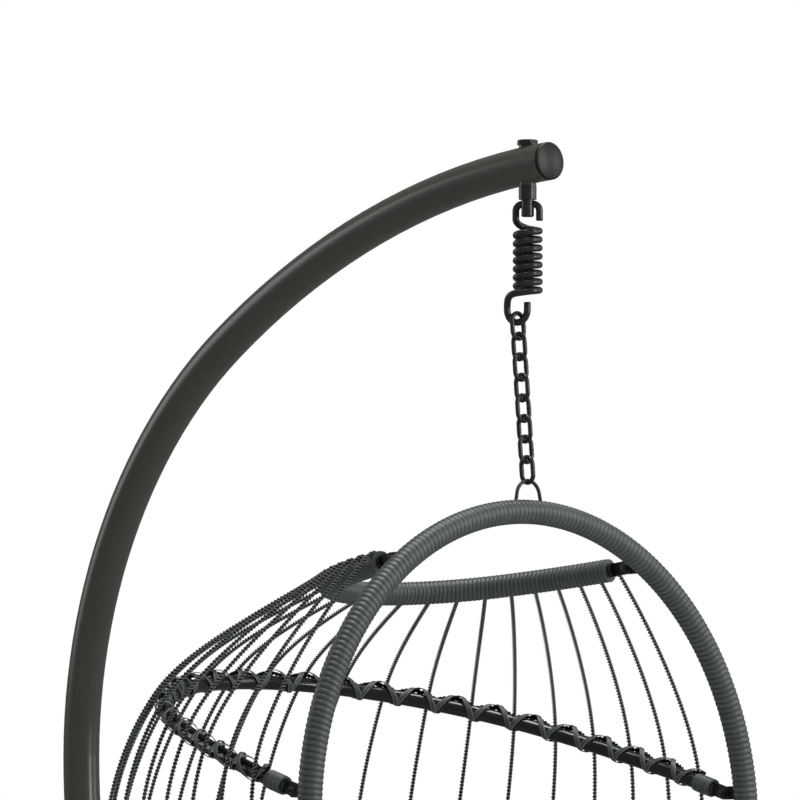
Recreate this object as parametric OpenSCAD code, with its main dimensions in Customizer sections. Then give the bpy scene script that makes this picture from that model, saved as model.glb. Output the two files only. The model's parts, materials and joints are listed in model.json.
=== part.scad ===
// Hanging egg chair. A basket of twisted cords on a wrapped hoop hangs by a chain and a coil
// spring from the arm of an arched pole, which stands in a ring on the floor.
// Everything is drawn round the hanging axis (x = 0, y = 0, +Y to the back) and moved once,
// so that the origin is the middle of the floor area.

/* [Pole] */
// Height of the top of the arm above the floor, at the hanging axis
stand_h = 1950; // [1900:1:2020]
// From the hanging axis back to the pole's centreline at its rearmost point
reach = 1084; // [1050:1:1120]
// Outside diameter of the pole
pole_d = 62; // [58:0.5:66]
// Wall of the pole
pole_wall = 2; // [1.6:0.1:3]
// Angle from upright at which the pole enters its socket
heel_a = 50.32; // [48:0.02:53]
// Radius of the pole's centreline at the shoulder
shoulder_r = 830; // [790:1:870]
// Angle that the shoulder bend turns through
shoulder_a = 56; // [52:0.5:60]
// Radius of the arm's centreline
arm_r = 1550; // [1480:1:1650]
// Length of arm past the hanging axis
arm_nose = 47; // [40:1:70]
// Where the pole's two sections meet, as an angle below the rearmost point
joint_a = 12; // [10:0.5:16]
// Length of the sleeve inside that joint
joint_len = 190; // [160:5:240]

/* [Base] */
// Radius of the floor ring's centreline
floor_ring_r = 560; // [530:1:590]
// Outside diameter of the floor ring's tube
floor_tube_d = 45; // [42:0.5:50]
// Wall of the base tubes
base_wall = 2; // [1.5:0.1:2.5]
// Outside diameter of the spine tube across the ring
spine_d = 38; // [34:0.5:40]
// From the ring's centreline to the start of the pole's heel bend
socket_len = 163; // [150:1:180]
// Wall of the sleeves that join the base
sleeve_wall = 3; // [2.5:0.1:4]
// Length of each sleeve round the ring
ring_sleeve_len = 150; // [130:5:180]
// Length of the sleeves round the spine
spine_sleeve_len = 70; // [60:5:90]
// Height of a rubber foot under the ring
foot_h = 8; // [6:0.5:12]
// Diameter of a rubber foot
foot_d = 40; // [36:1:46]
// Number of rubber feet
foot_count = 6; // [4:2:8]

/* [Swivel pin] */
// Diameter of the swivel pin
pin_d = 20.6; // [20:0.1:22]
// Outside diameter of the sleeve welded through the arm
arm_sleeve_d = 28; // [26:0.5:30]
// Diameter of the pin's collar under the arm
collar_d = 29; // [28:0.5:32]
// Length of the pin's collar
collar_len = 22.5; // [20:0.5:26]
// Length of pin below the collar
pin_tip_len = 28; // [26:0.5:32]
// Width of the nut across its flats
nut_af = 30; // [29:0.5:32]
// Height of the nut
nut_h = 7; // [6:0.5:10]
// Diameter of the washer under the nut
washer_d = 34; // [32:0.5:38]
// Thickness of that washer
washer_t = 1.5; // [1:0.1:2.5]

/* [Spring] */
// Diameter of the spring wire
spring_wire_d = 11.4; // [9:0.1:11.6]
// Mean radius of the coil
coil_r = 18.8; // [18:0.1:20]
// Rise of the coil in one turn
coil_pitch = 13.7; // [12.5:0.1:16]
// Number of turns in the coil
coil_turns = 7.25; // [5.25:1:10.25]
// Half the width of the upper hook, to the wire's centre
top_hook_r = 20; // [19:0.1:22]
// Radius of the upper hook's bends
top_bend_r = 11; // [9.5:0.1:11]
// From the hook's crown down to the end of its free prong
top_prong_len = 26.6; // [20:0.1:30]
// From the hook's crown down to where its other leg turns into the coil
top_leg_len = 23; // [16:0.1:28]
// Half the width of the lower hook, to the wire's centre
low_hook_w = 17; // [16:0.1:19]
// Depth of the lower hook's bowl
low_hook_h = 21; // [18:0.1:24]
// How far the lower hook's middle lies to the side of the hanging axis
low_hook_side = 17.7; // [15:0.1:20]
// Free prong of the lower hook above its bowl
low_prong_len = 11; // [6:0.1:14]
// Direction of the hooks, seen from above
hook_dir = -62; // [-75:1:-50]

/* [Chain] */
// Number of chain links
link_count = 8; // [8:1:8]
// Diameter of the link wire
link_wire_d = 7.6; // [6.5:0.1:8]
// Length inside a link
link_in_len = 33.7; // [31:0.05:38]
// Width inside a link
link_in_w = 17.8; // [17.5:0.1:20]

/* [Hoop] */
// Half the width of the hoop's centreline, which is round above its widest line
hoop_w = 497; // [470:1:520]
// Radius of the hoop's centreline at the bottom
hoop_low_r = 400; // [380:1:430]
// From the hoop's widest line down to the centre of the bottom bend
hoop_low_h = 163; // [140:1:185]
// Diameter of the hoop's steel tube
hoop_tube_d = 32; // [28:0.5:34]
// Wall of the hoop and bar tubes
bar_wall = 1.5; // [1.2:0.1:2.5]
// Diameter over the hoop's wicker wrap
wrap_d = 40; // [38:0.5:44]
// Lean of the basket, bottom forward
lean = 1.5; // [0:0.1:3]
// Diameter of the hanging ring's wire
ring_wire_d = 6; // [5:0.1:7]
// Radius of the hanging ring's crown
ring_crown_r = 26; // [22:0.1:28]
// Height of the hanging ring above the wrap, to the wire's centre
ring_h = 30.7; // [28:0.1:36]
// Half the distance between the ring's legs on the wrap
ring_foot = 27.5; // [26:0.1:30]

/* [Bars] */
// Diameter of the basket's bars
bar_d = 24; // [22:0.5:26]
// From the hoop's plane back to the bars' pivots
pivot_y = 40; // [38:0.5:44]
// Depth of each pivot below the hoop's top, from the top bar to the bottom bar
pivot_drops = [81, 450, 800, 960];
// Reach of each bar behind its pivots, in the bar's own plane
bar_reaches = [331, 642, 790, 412];
// Rise of each bar's plane towards the back, in degrees
bar_tilts = [-5.7, 18.3, 13.2, -5.6];
// Radius of each bar's rear bend
bar_rear_rs = [219, 454, 385, 215];
// Where each bar's rear bend meets its side bends, in degrees from sideways
bar_join_as = [30, 21, 35, 30];
// How far inside the hoop's centreline the bars' ends lie
bar_inset = 7; // [5:0.5:9]
// Thickness of the lugs and of the bars' flattened ends
lug_t = 5; // [4:0.1:6]
// Width of the lugs and flattened ends
lug_w = 22; // [20:0.5:24]
// Diameter of the pivot bolts
bolt_d = 8; // [7:0.5:9]
// Diameter over the top bar's wicker wrap
top_wrap_d = 39; // [36:0.5:42]
// Diameter over the collars at the middle bar's ends
collar_wrap_d = 31; // [29:0.5:34]
// Length of those collars
collar_wrap_len = 36; // [30:1:38]

/* [Binding] */
// Turns of each binding strip along the middle bar
bind_turns = 25; // [13:2:25]
// Distance along the bar from its pivot to the start of the binding
bind_first = 68; // [66:1:90]
// Width of a binding strip
strip_w = 8; // [4:0.1:9]
// Thickness of a binding strip
strip_t = 1.4; // [1:0.1:2]

/* [Cords] */
// Number of cords from the top bar to the bottom of the hoop
cord_count = 24; // [24:1:24]
// Diameter of a cord
cord_d = 8.5; // [7:0.1:9.5]
// Distance from a pivot to the first cord, along each bar
cord_firsts = [40, 80, 70, 52];
// Where a cord lies round each bar, in degrees above the bar's plane
cord_sides = [-40, 15, -8, -50];
// Part of the hoop's bottom bend that the cords' ends share, in degrees to each side
cord_spread = 27; // [22:0.5:28]

/* [Cushion] */
// Half the width of the seat cushion
pad_w = 316; // [290:1:325]
// Half the depth of the seat cushion
pad_l = 265; // [240:1:280]
// From the hoop's plane back to the cushion's middle
pad_y = 335; // [320:1:350]
// Height of the cushion's crown above its seam
pad_up = 62; // [40:1:80]
// Depth of the cushion's underside below its seam
pad_down = 78; // [60:1:95]
// Depth of a tuft
tuft_h = 16; // [8:1:20]

/* [Hidden] */
$fn = 48;

steel_grey = [0.25, 0.25, 0.24];
near_black = [0.09, 0.09, 0.09];
wicker = [0.33, 0.36, 0.34];
fabric_grey = [0.62, 0.62, 0.60];

fit = 0.2;           // clearance round a tube in a sleeve, on the radius
run = 0.05;          // clearance round the swivel pin, on the radius
touch = 0.3;         // gap between pieces that lie on each other and move apart
bolt_fit = 0.15;     // clearance round a bolt, on the radius
seam = 0.05;         // width of a welded seam
backing_len = 8;     // length of the ring inside a seam
drain_d = 6;         // diameter of the hoop's drain hole
deg = 180 / PI;      // degrees in a radian

// Pole: three arcs in the plane x = 0
nose_top_a = acos(cos(shoulder_a) - (reach - shoulder_r * (1 - cos(shoulder_a))) / arm_r);
bulge_h = stand_h - pole_d / 2 / sin(nose_top_a) - shoulder_r * sin(shoulder_a)
    - arm_r * (sin(nose_top_a) - sin(shoulder_a));
nose_a = nose_top_a + arm_nose / arm_r * deg;
shoulder_c = [reach - shoulder_r, bulge_h];
arm_c = shoulder_c + (shoulder_r - arm_r) * [cos(shoulder_a), sin(shoulder_a)];
floor_ring_z = foot_h + floor_tube_d / 2;
heel_r = (bulge_h - floor_ring_z - socket_len * cos(heel_a)) / sin(heel_a);
heel_c = [reach - heel_r, bulge_h];
heel_end = heel_c + heel_r * [cos(heel_a), -sin(heel_a)];
foot_y = heel_end.x - socket_len * sin(heel_a);
pole_bore = pole_d - 2 * pole_wall;
joint_span = joint_len / heel_r * deg;

// Base
floor_ring_y = foot_y - floor_ring_r;
ring_sleeve_d = floor_tube_d + 2 * fit + 2 * sleeve_wall;
spine_sleeve_d = spine_d + 2 * fit + 2 * sleeve_wall;
pole_sleeve_d = pole_d + 2 * fit + 2 * sleeve_wall;
pole_stop = 48;      // from the ring's centreline up to the end of the pole
spine_stop = ring_sleeve_d / 2 + 2;
front_y = floor_ring_y - floor_ring_r;
mid_y = (reach + pole_d / 2 + front_y - ring_sleeve_d / 2) / 2;
base_bolt_d = 8;
base_head_d = 15;
base_head_h = 5;
base_nut_h = 6.5;
pole_bolt_at = [78, 132];      // along the socket, from the ring's centreline

// Pin, spring and chain, from the arm downwards
arm_under = stand_h - pole_d / sin(nose_top_a);
sleeve_proud = 1.6;            // how far the arm's sleeve stands out of the curved tube
sleeve_top = stand_h + sleeve_proud;
sleeve_end = arm_under - sleeve_proud;
collar_top = sleeve_end - touch;
pin_hole_d = spring_wire_d + 1;
pin_hole_z = collar_top - collar_len - 1 - pin_hole_d / 2;
crown_z = pin_hole_z - pin_hole_d / 2 + spring_wire_d / 2 + touch;
coil_in = 14.5;                // height of the half turn that leads into the coil
coil_top = crown_z - top_leg_len - coil_in - coil_pitch / 2;
coil_end = coil_top - coil_turns * coil_pitch;
coil_slope = coil_pitch / (2 * PI * coil_r);
tail = spring_wire_d;          // the coil's end runs straight for one wire diameter
hook_start_z = coil_end - coil_slope * tail;
hook_drop = 25.5;              // from the coil's end down to the middle of the hook's bowl
hook_swing = 52;               // how widely the wire swings out between the two
hook_lead = 2;                 // the hook starts straight, in line with the coil's end
saddle_gap = 1.6;              // height left for the first link to tip in the hook's bowl
hook_mid_z = hook_start_z - hook_drop;
hook_low_z = hook_mid_z - low_hook_h;
link_step = link_in_len - touch;
chain_top_z = hook_low_z + (spring_wire_d + link_wire_d) / 2 + saddle_gap;
chain_run = (link_count - 1) * link_step + link_in_len + link_wire_d
    - (link_wire_d + ring_wire_d) / 2 - touch;
ring_top_z = chain_top_z - sqrt(chain_run ^ 2 - low_hook_side ^ 2);
chain_top = [-low_hook_side * cos(hook_dir), -low_hook_side * sin(hook_dir), chain_top_z];
chain_up = (chain_top - [0, 0, ring_top_z]) / chain_run;
chain_rx = -asin(chain_up.y);
chain_ry = asin(chain_up.x / cos(chain_rx));

// Hoop: round top, two side bends and a bottom bend, in the basket's plane y = 0
hoop_side_r = (hoop_w ^ 2 + hoop_low_h ^ 2 - hoop_low_r ^ 2) / (2 * (hoop_w - hoop_low_r));
hoop_side_x = hoop_w - hoop_side_r;
hoop_side_a = atan2(hoop_low_h, -hoop_side_x);
hoop_drop = hoop_w + hoop_low_h + hoop_low_r;
ring_crown_z = wrap_d / 2 + ring_h - ring_crown_r;
ring_lean_a = acos(ring_crown_r / norm([ring_foot, ring_h - ring_crown_r]))
    - atan2(ring_h - ring_crown_r, ring_foot);

function hoop_half(drop) =
    drop < hoop_w ? sqrt(hoop_w ^ 2 - (hoop_w - drop) ^ 2) :
    drop < hoop_w + hoop_side_r * sin(hoop_side_a) ?
        hoop_side_x + sqrt(hoop_side_r ^ 2 - (drop - hoop_w) ^ 2) :
    sqrt(hoop_low_r ^ 2 - (drop - hoop_w - hoop_low_h) ^ 2);

// Bars: a rear bend and two side bends. A bar is [half width, reach, rear radius, join angle,
// side radius, side centre x, side centre y, drop of its pivots, tilt].
function bar_shape(i) = let (
    half = hoop_half(pivot_drops[i]) - bar_inset,
    rear_r = bar_rear_rs[i],
    along = [cos(bar_join_as[i]), sin(bar_join_as[i])],
    to_end = [half, rear_r - bar_reaches[i]],
    grow = (to_end * to_end - rear_r ^ 2) / (2 * (rear_r - to_end * along)),
    side_c = [0, bar_reaches[i] - rear_r] - grow * along
) [half, bar_reaches[i], rear_r, bar_join_as[i], rear_r + grow, side_c.x, side_c.y,
    pivot_drops[i], bar_tilts[i]];
bars = [for (i = [0:3]) bar_shape(i)];
TOP = 0;
MIDDLE = 1;
SEAT = 2;
BOTTOM = 3;

function bar_side_a(bar, y) = asin((y - bar[6]) / bar[4]);
function bar_side_len(bar) = bar[4] * (bar[3] - bar_side_a(bar, 0)) / deg;
function bar_len(bar) = 2 * bar_side_len(bar) + bar[2] * (180 - 2 * bar[3]) / deg;
// Point on a bar's centreline at a length from its right pivot, and the angle it faces
function bar_at(bar, s) =
    s > bar_len(bar) / 2 ? let (p = bar_at(bar, bar_len(bar) - s)) [-p[0], p[1], 180 - p[2]] :
    s < bar_side_len(bar) ?
        let (a = bar_side_a(bar, 0) + s / bar[4] * deg)
        [bar[5] + bar[4] * cos(a), bar[6] + bar[4] * sin(a), a] :
    let (a = bar[3] + (s - bar_side_len(bar)) / bar[2] * deg)
    [bar[2] * cos(a), bar[1] - bar[2] + bar[2] * sin(a), a];
// From a bar's own plane to the basket
function from_bar(bar, p) =
    [p.x, pivot_y + p.y * cos(bar[8]) - p.z * sin(bar[8]),
        p.y * sin(bar[8]) + p.z * cos(bar[8]) - bar[7]];
// Point beside a bar: out from its centreline by r, turned up by side degrees
function beside_bar(bar, s, r, side) = let (p = bar_at(bar, s))
    from_bar(bar, [p[0] + r * cos(side) * cos(p[2]), p[1] + r * cos(side) * sin(p[2]),
        r * sin(side)]);

// Binding strips: two opposite spirals, one over the other
bind_rings = 12;
bind_skew = cos(180 / bind_rings);
strip_lift = 0.7;              // room for a flat strip's middle inside its edges
strip_rs = [for (k = [0, 1]) (bar_d / 2 + touch + strip_lift + (strip_t / 2) * (1 + 2 * k))
    / bind_skew + k * (strip_lift + touch)];
bind_out = strip_rs[1] / bind_skew + strip_t;

// Cords
cord_out = [top_wrap_d / 2 + touch, bind_out + cord_d / 2 + 1, bar_d / 2 + cord_d / 2 + 1,
    bar_d / 2 + cord_d / 2 + 1];
cord_end_a = 20;               // how far below the hoop's plane a cord meets its wrap
cord_groups = 6;
function share(i) = i / (cord_count - 1);
function cord_on_bar(i, k) = let (first = cord_firsts[k], whole = bar_len(bars[k]))
    beside_bar(bars[k], first + share(i) * (whole - 2 * first), cord_out[k], cord_sides[k]);
function cord_start_dir(i) = let (bar = bars[TOP], first = cord_firsts[TOP],
        s = first + share(i) * (bar_len(bar) - 2 * first))
    (beside_bar(bar, s, 1, cord_sides[TOP]) - beside_bar(bar, s, 0, 0));
function cord_end_dir(i) = let (a = -90 + cord_spread * (1 - 2 * share(i)))
    [cos(a) * sin(cord_end_a), cos(cord_end_a), sin(a) * sin(cord_end_a)];
function cord_end(i) = let (a = -90 + cord_spread * (1 - 2 * share(i)))
    [hoop_low_r * cos(a), 0, -hoop_w - hoop_low_h + hoop_low_r * sin(a)]
    + (wrap_d / 2 + touch) * cord_end_dir(i);
function cord_knots(i) = [for (k = [0:3]) cord_on_bar(i, k), cord_end(i)];
function unit(v) = v / norm(v);
// Slope at each knot, for a smooth line through the knots
function knot_slopes(p, first, last) = [for (i = [0:len(p) - 1])
    i == 0 ? first : i == len(p) - 1 ? last :
    let (a = norm(p[i] - p[i - 1]), b = norm(p[i + 1] - p[i]))
    unit((p[i] - p[i - 1]) * b / a + (p[i + 1] - p[i]) * a / b)];
function blend_at(p0, m0, p1, m1, t) = (2 * t ^ 3 - 3 * t ^ 2 + 1) * p0
    + (t ^ 3 - 2 * t ^ 2 + t) * m0 + (3 * t ^ 2 - 2 * t ^ 3) * p1 + (t ^ 3 - t ^ 2) * m1;
function smooth_line(p, m, steps) = [
    for (i = [0:len(p) - 2], k = [0:steps[i] - 1])
        let (span = norm(p[i + 1] - p[i]))
        blend_at(p[i], m[i] * span, p[i + 1], m[i + 1] * span, k / steps[i]),
    p[len(p) - 1]];
cord_steps = [5, 5, 5, 4];     // straight pieces of a cord between one knot and the next
function cord_line(i) = let (p = cord_knots(i))
    smooth_line(p, knot_slopes(p, cord_start_dir(i), -cord_end_dir(i)), cord_steps);
cord_lines = [for (i = [0:cord_count - 1]) cord_line(i)];

// Spring: from the end of the free prong over the crown and down the coil
coil_rings = 12;
bend_rings = 4;
function spiral(from, to, top, r) = [for (i = [1:ceil((to - from) * coil_rings)])
    let (t = from + i / coil_rings) [r * cos(-360 * t), r * sin(-360 * t), top - coil_pitch * t]];
spring_line = concat(
    [[top_hook_r, 0, crown_z - top_prong_len]],
    [for (i = [0:bend_rings]) let (a = 90 * i / bend_rings)
        [top_hook_r - top_bend_r + top_bend_r * cos(a), 0,
            crown_z - top_bend_r + top_bend_r * sin(a)]],
    [for (i = [0:bend_rings]) let (a = 90 + 90 * i / bend_rings)
        [-top_hook_r + top_bend_r + top_bend_r * cos(a), 0,
            crown_z - top_bend_r + top_bend_r * sin(a)]],
    [for (i = [0:8]) let (t = i / 8, a = 180 - 180 * t ^ 2,
            r = top_hook_r + (coil_r - top_hook_r) * t)
        [r * cos(a), r * sin(a),
            crown_z - top_leg_len - coil_in * sin(90 * t) - coil_pitch / 2 * t ^ 2]],
    spiral(0, coil_turns, coil_top, coil_r),
    [[-tail, -coil_r, hook_start_z]]
);
// Lower hook: on from the coil's end, round its bowl and up to its free prong
hook_a = [-tail - touch, -coil_r, hook_start_z];
hook_b = [-low_hook_side - low_hook_w, 0, hook_mid_z];
hook_line = concat(
    [hook_a],
    [for (i = [0:7]) blend_at(hook_a + hook_lead * [-1, 0, -coil_slope],
        hook_swing * [-1, 0, -coil_slope], hook_b, [0, 0, -hook_swing], i / 8)],
    [for (i = [0:12]) let (a = 180 + 180 * i / 12)
        [-low_hook_side + low_hook_w * cos(a), 0, hook_mid_z + low_hook_h * sin(a)]],
    [[-low_hook_side + low_hook_w, 0, hook_mid_z + low_prong_len]]
);

// Least gap between stretches of one tube that lie over half a turn apart
function least_gap(p, d, apart) = min([for (i = [0:len(p) - 1], j = [i + apart:1:len(p) - 1])
    norm(p[i] - p[j])]) - d;
echo(spring_gap = least_gap(spring_line, spring_wire_d, coil_rings / 2 + 1));

// Cushion: a crowned oval whose tufts are a middle one and a ring round it
pad_around = 36;
pad_rings = 13;
pad_square = 2.5;              // 2 is an ellipse, more is squarer
tufts = concat([[0, 0]], [for (a = [0:60:300]) 0.52 * [pad_w * cos(a), pad_l * sin(a)]]);
tuft_r = 42;
function pad_rim(a) = (abs(cos(a)) ^ pad_square + abs(sin(a)) ^ pad_square) ^ (-1 / pad_square);
function pad_dip(p) = tuft_h * max([for (t = tufts) exp(-((p - t) * (p - t)) / tuft_r ^ 2)]);
function pad_part(p) = (abs(p.x / pad_w) ^ pad_square + abs(p.y / pad_l) ^ pad_square)
    ^ (1 / pad_square);
function pad_under(part) = -pad_down * sqrt(max(0, 1 - part ^ 2.2));
function pad_over(part) = pad_up * sqrt(max(0, 1 - part ^ 3));
pad_lift = 0.62;               // a sloping cord's reach above its centre, in diameters
// The cushion is lowered until it lies on the cords
pad_seat = max([for (line = cord_lines, k = [0:len(line) - 2], t = [0:0.25:0.75])
    let (p = line[k] + t * (line[k + 1] - line[k]), part = pad_part([p.x, p.y - pad_y]))
    if (part < 0.995 && p.z < -hoop_w) p.z + cord_d * pad_lift - pad_under(part)]) + touch;

// A closed tube along a line, with its first side facing start_side
function project(v, along) = unit(v - (v * along) * along);
function line_dirs(p) = [for (i = [0:len(p) - 1])
    unit(p[min(i + 1, len(p) - 1)] - p[max(i - 1, 0)])];
function line_sides(dirs, start_side) = [
    for (i = 0, v = project(start_side, dirs[0]); i < len(dirs);
        v = project(v, dirs[min(i + 1, len(dirs) - 1)]), i = i + 1) v];

module skin(rings) {
    n = len(rings[0]);
    last = len(rings) - 1;
    polyhedron(
        points = [for (ring = rings, p = ring) p],
        faces = concat(
            [for (k = [1:n - 2]) [0, k, k + 1]],
            [for (i = [0:last - 1], k = [0:n - 1]) [i * n + k, (i + 1) * n + k,
                (i + 1) * n + (k + 1) % n]],
            [for (i = [0:last - 1], k = [0:n - 1]) [i * n + k, (i + 1) * n + (k + 1) % n,
                i * n + (k + 1) % n]],
            [for (k = [1:n - 2]) [last * n, last * n + k + 1, last * n + k]]
        )
    );
}

module tube_along(line, d, sides, start_side = [0, 1, 0]) {
    dirs = line_dirs(line);
    across = line_sides(dirs, start_side);
    skin([for (i = [0:len(line) - 1]) [for (k = [0:sides - 1])
        let (a = 360 * k / sides)
        line[i] + d / 2 * (cos(a) * across[i] + sin(a) * cross(dirs[i], across[i]))]]);
}

// Round tube profile
module pipe_2d(d, bore) {
    difference() {
        circle(d = d);
        if (bore > 0)
            circle(d = bore);
    }
}

// Frames whose own plane z = 0 is the plane x = 0, y = 0 or z = 0, at a centre in that plane.
// Angles run from +Y towards +Z, from +X towards +Z, and from +X towards +Y.
module in_yz(c) {
    translate([0, c.x, c.y])
        rotate([90, 0, 90])
            children();
}

module in_xz(c) {
    translate([c.x, 0, c.y])
        rotate([90, 0, 0])
            children();
}

module in_xy(c) {
    translate([c.x, c.y, 0])
        children();
}

// Bent tube round the origin in the plane z = 0. With a seam it stops short at both ends.
module bend(r, from, to, d, bore = 0, seam = 0) {
    cut = seam / 2 / r * deg;
    rotate([0, 0, from + cut])
        rotate_extrude(angle = to - from - 2 * cut, $fn = 96)
            translate([r, 0])
                pipe_2d(d, bore);
}

// Backing ring inside a welded seam between two tubes, along z
module backing_ring(d, bore) {
    difference() {
        cylinder(d = (d + bore) / 2, h = backing_len, center = true);
        cylinder(d = bore - fit, h = backing_len + 1, center = true);
    }
}

// The same at an angle on a bend
module bend_ring(r, a, d, bore) {
    rotate([0, 0, a])
        translate([r, 0, 0])
            rotate([90, 0, 0])
                backing_ring(d, bore);
}

module from_axis() {
    translate([0, -mid_y, 0])
        children();
}

// The basket's own frame: hoop in the plane y = 0, its top centreline at z = 0
module in_basket() {
    translate([0, 0, ring_top_z])
        rotate([-lean, 0, 0])
            translate([0, 0, -ring_h - wrap_d / 2])
                children();
}

module in_bar(bar) {
    translate([0, pivot_y, -bar[7]])
        rotate([bar[8], 0, 0])
            children();
}

// ---------------------------------------------------------------- stand

// Swivel bore's sleeve space through the arm
module arm_sleeve_space() {
    translate([0, 0, arm_under - pole_d])
        cylinder(d = arm_sleeve_d + 2 * fit, h = 3 * pole_d);
}

// A place on the heel bend, at an angle below the rearmost point, with x across the pole
module on_heel(a) {
    translate([0, heel_c.x + heel_r * cos(a), heel_c.y - heel_r * sin(a)])
        children();
}

joint_bolt_as = [joint_a - joint_span / 4, joint_a + joint_span / 4];

module pole_cross_holes() {
    for (a = joint_bolt_as)
        on_heel(a)
            rotate([0, 90, 0])
                cylinder(d = base_bolt_d + 2 * bolt_fit, h = 2 * pole_d, center = true);
    in_socket()
        socket_cross_holes();
}

module pole_upper() {
    color(steel_grey)
        difference() {
            union() {
                in_yz(heel_c) {
                    bend(heel_r, -joint_a, 0, pole_d, pole_bore, seam);
                    bend_ring(heel_r, 0, pole_d, pole_bore);
                }
                in_yz(shoulder_c) {
                    bend(shoulder_r, 0, shoulder_a, pole_d, pole_bore, seam);
                    bend_ring(shoulder_r, shoulder_a, pole_d, pole_bore);
                }
                in_yz(arm_c)
                    bend(arm_r, shoulder_a, nose_a, pole_d, pole_bore, seam);
            }
            arm_sleeve_space();
            pole_cross_holes();
        }
}

// The socket's frame: z along its bore, from the middle of the floor ring's tube
module in_socket() {
    translate([0, foot_y, floor_ring_z])
        rotate([-heel_a, 0, 0])
            children();
}

module socket_cross_holes() {
    for (z = pole_bolt_at)
        translate([0, 0, z])
            rotate([0, 90, 0])
                cylinder(d = base_bolt_d + 2 * bolt_fit, h = 2 * pole_d, center = true);
}

module pole_lower() {
    color(steel_grey)
        difference() {
            union() {
                in_yz(heel_c) {
                    bend(heel_r, -heel_a, -joint_a, pole_d, pole_bore, seam);
                    bend_ring(heel_r, -heel_a, pole_d, pole_bore);
                }
                in_socket()
                    translate([0, 0, pole_stop])
                        linear_extrude(socket_len - pole_stop - seam / 2)
                            pipe_2d(pole_d, pole_bore);
            }
            pole_cross_holes();
        }
}

module pole_joint_sleeve() {
    color(steel_grey)
        difference() {
            in_yz(heel_c)
                bend(heel_r, -joint_a - joint_span / 2, -joint_a + joint_span / 2,
                    pole_bore - 2 * fit, pole_bore - 2 * fit - 2 * sleeve_wall);
            pole_cross_holes();
        }
}

// Bolt across a tube of diameter across: domed head at +X, nut at -X
module cross_bolt(across) {
    rotate([0, 90, 0]) {
        cylinder(d = base_bolt_d, h = across + 2 * (base_bolt_d - 1), center = true);
        translate([0, 0, across / 2])
            bolt_head(base_head_d, base_head_h);
        translate([0, 0, -across / 2 - base_nut_h])
            cylinder(d = base_head_d, h = base_nut_h, $fn = 6);
    }
}

// Domed head with a hexagon socket, standing on z = 0
module bolt_head(d, h) {
    difference() {
        intersection() {
            cylinder(d = d, h = h);
            translate([0, 0, h - d * 0.62])
                sphere(r = d * 0.62, $fn = 48);
        }
        translate([0, 0, h * 0.45])
            cylinder(d = d * 0.42, h = h, $fn = 6);
    }
}

module pole_bolts() {
    color(near_black) {
        for (a = joint_bolt_as)
            on_heel(a)
                cross_bolt(pole_d);
        in_socket()
            for (z = pole_bolt_at)
                translate([0, 0, z])
                    cross_bolt(pole_sleeve_d);
    }
}

module arm_sleeve() {
    color(steel_grey)
        translate([0, 0, sleeve_end])
            difference() {
                cylinder(d = arm_sleeve_d, h = sleeve_top - sleeve_end);
                translate([0, 0, -1])
                    cylinder(d = pin_d + 2 * run, h = pole_d * 2);
            }
}

cap_gap = 1.3;       // dark line between the tube's end and the cap
cap_t = 4.5;

module arm_end_cap() {
    color(steel_grey)
        translate([0, arm_c.x + arm_r * cos(nose_a), arm_c.y + arm_r * sin(nose_a)])
            rotate([nose_a, 0, 0])
                rotate_extrude()
                    intersection() {
                        union() {
                            translate([0, -18])
                                square([pole_bore / 2 - fit, 18 + cap_gap]);
                            translate([0, cap_gap])
                                square([pole_d / 2 - cap_t / 2, cap_t]);
                            translate([pole_d / 2 - cap_t / 2, cap_gap + cap_t / 2])
                                circle(d = cap_t);
                        }
                        translate([0, -20])
                            square([pole_d, 40]);
                    }
}

// ---------------------------------------------------------------- base

ring_half_gap = 0.5;           // half the gap where the ring's two halves meet
ring_sleeve_a = ring_sleeve_len / 2 / floor_ring_r * deg;
ring_bolt_a = ring_sleeve_a * 0.62;

module on_ring(a) {
    translate([floor_ring_r * cos(a), floor_ring_y + floor_ring_r * sin(a), floor_ring_z])
        children();
}

module base_bolt_holes() {
    for (a = [90 - ring_bolt_a, 90 + ring_bolt_a, 270 - ring_bolt_a, 270 + ring_bolt_a])
        on_ring(a)
            cylinder(d = base_bolt_d + 2 * bolt_fit, h = floor_tube_d);
    for (y = spine_bolt_ys)
        translate([0, y, floor_ring_z])
            cylinder(d = base_bolt_d + 2 * bolt_fit, h = floor_tube_d);
}

spine_bolt_ys = [foot_y - spine_sleeve_len * 0.72, front_y + spine_sleeve_len * 0.72];

module base_half_ring() {
    gap_a = ring_half_gap / floor_ring_r * deg;
    difference() {
        translate([0, 0, floor_ring_z])
            in_xy([0, floor_ring_y])
                bend(floor_ring_r, -90 + gap_a, 90 - gap_a,
                    floor_tube_d, floor_tube_d - 2 * base_wall);
        base_bolt_holes();
    }
}

module base_ring_right() {
    color(steel_grey)
        base_half_ring();
}

module base_ring_left() {
    color(steel_grey)
        mirror([1, 0, 0])
            base_half_ring();
}

// Sleeve round the ring at an angle, with a shorter sleeve for the spine on its inner side
module ring_tee(a, inward, y) {
    translate([0, 0, floor_ring_z])
        in_xy([0, floor_ring_y])
            bend(floor_ring_r, a - ring_sleeve_a, a + ring_sleeve_a, ring_sleeve_d);
    translate([0, y, floor_ring_z])
        rotate([-90 * inward, 0, 0])
            cylinder(d = spine_sleeve_d, h = spine_sleeve_len);
}

module ring_tee_space(a, inward, y) {
    translate([0, 0, floor_ring_z])
        in_xy([0, floor_ring_y])
            bend(floor_ring_r, a - 2 * ring_sleeve_a, a + 2 * ring_sleeve_a,
                floor_tube_d + 2 * fit);
    translate([0, y + inward * (spine_stop - 1), floor_ring_z])
        rotate([-90 * inward, 0, 0])
            cylinder(d = spine_d + 2 * fit, h = 2 * spine_sleeve_len);
}

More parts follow.
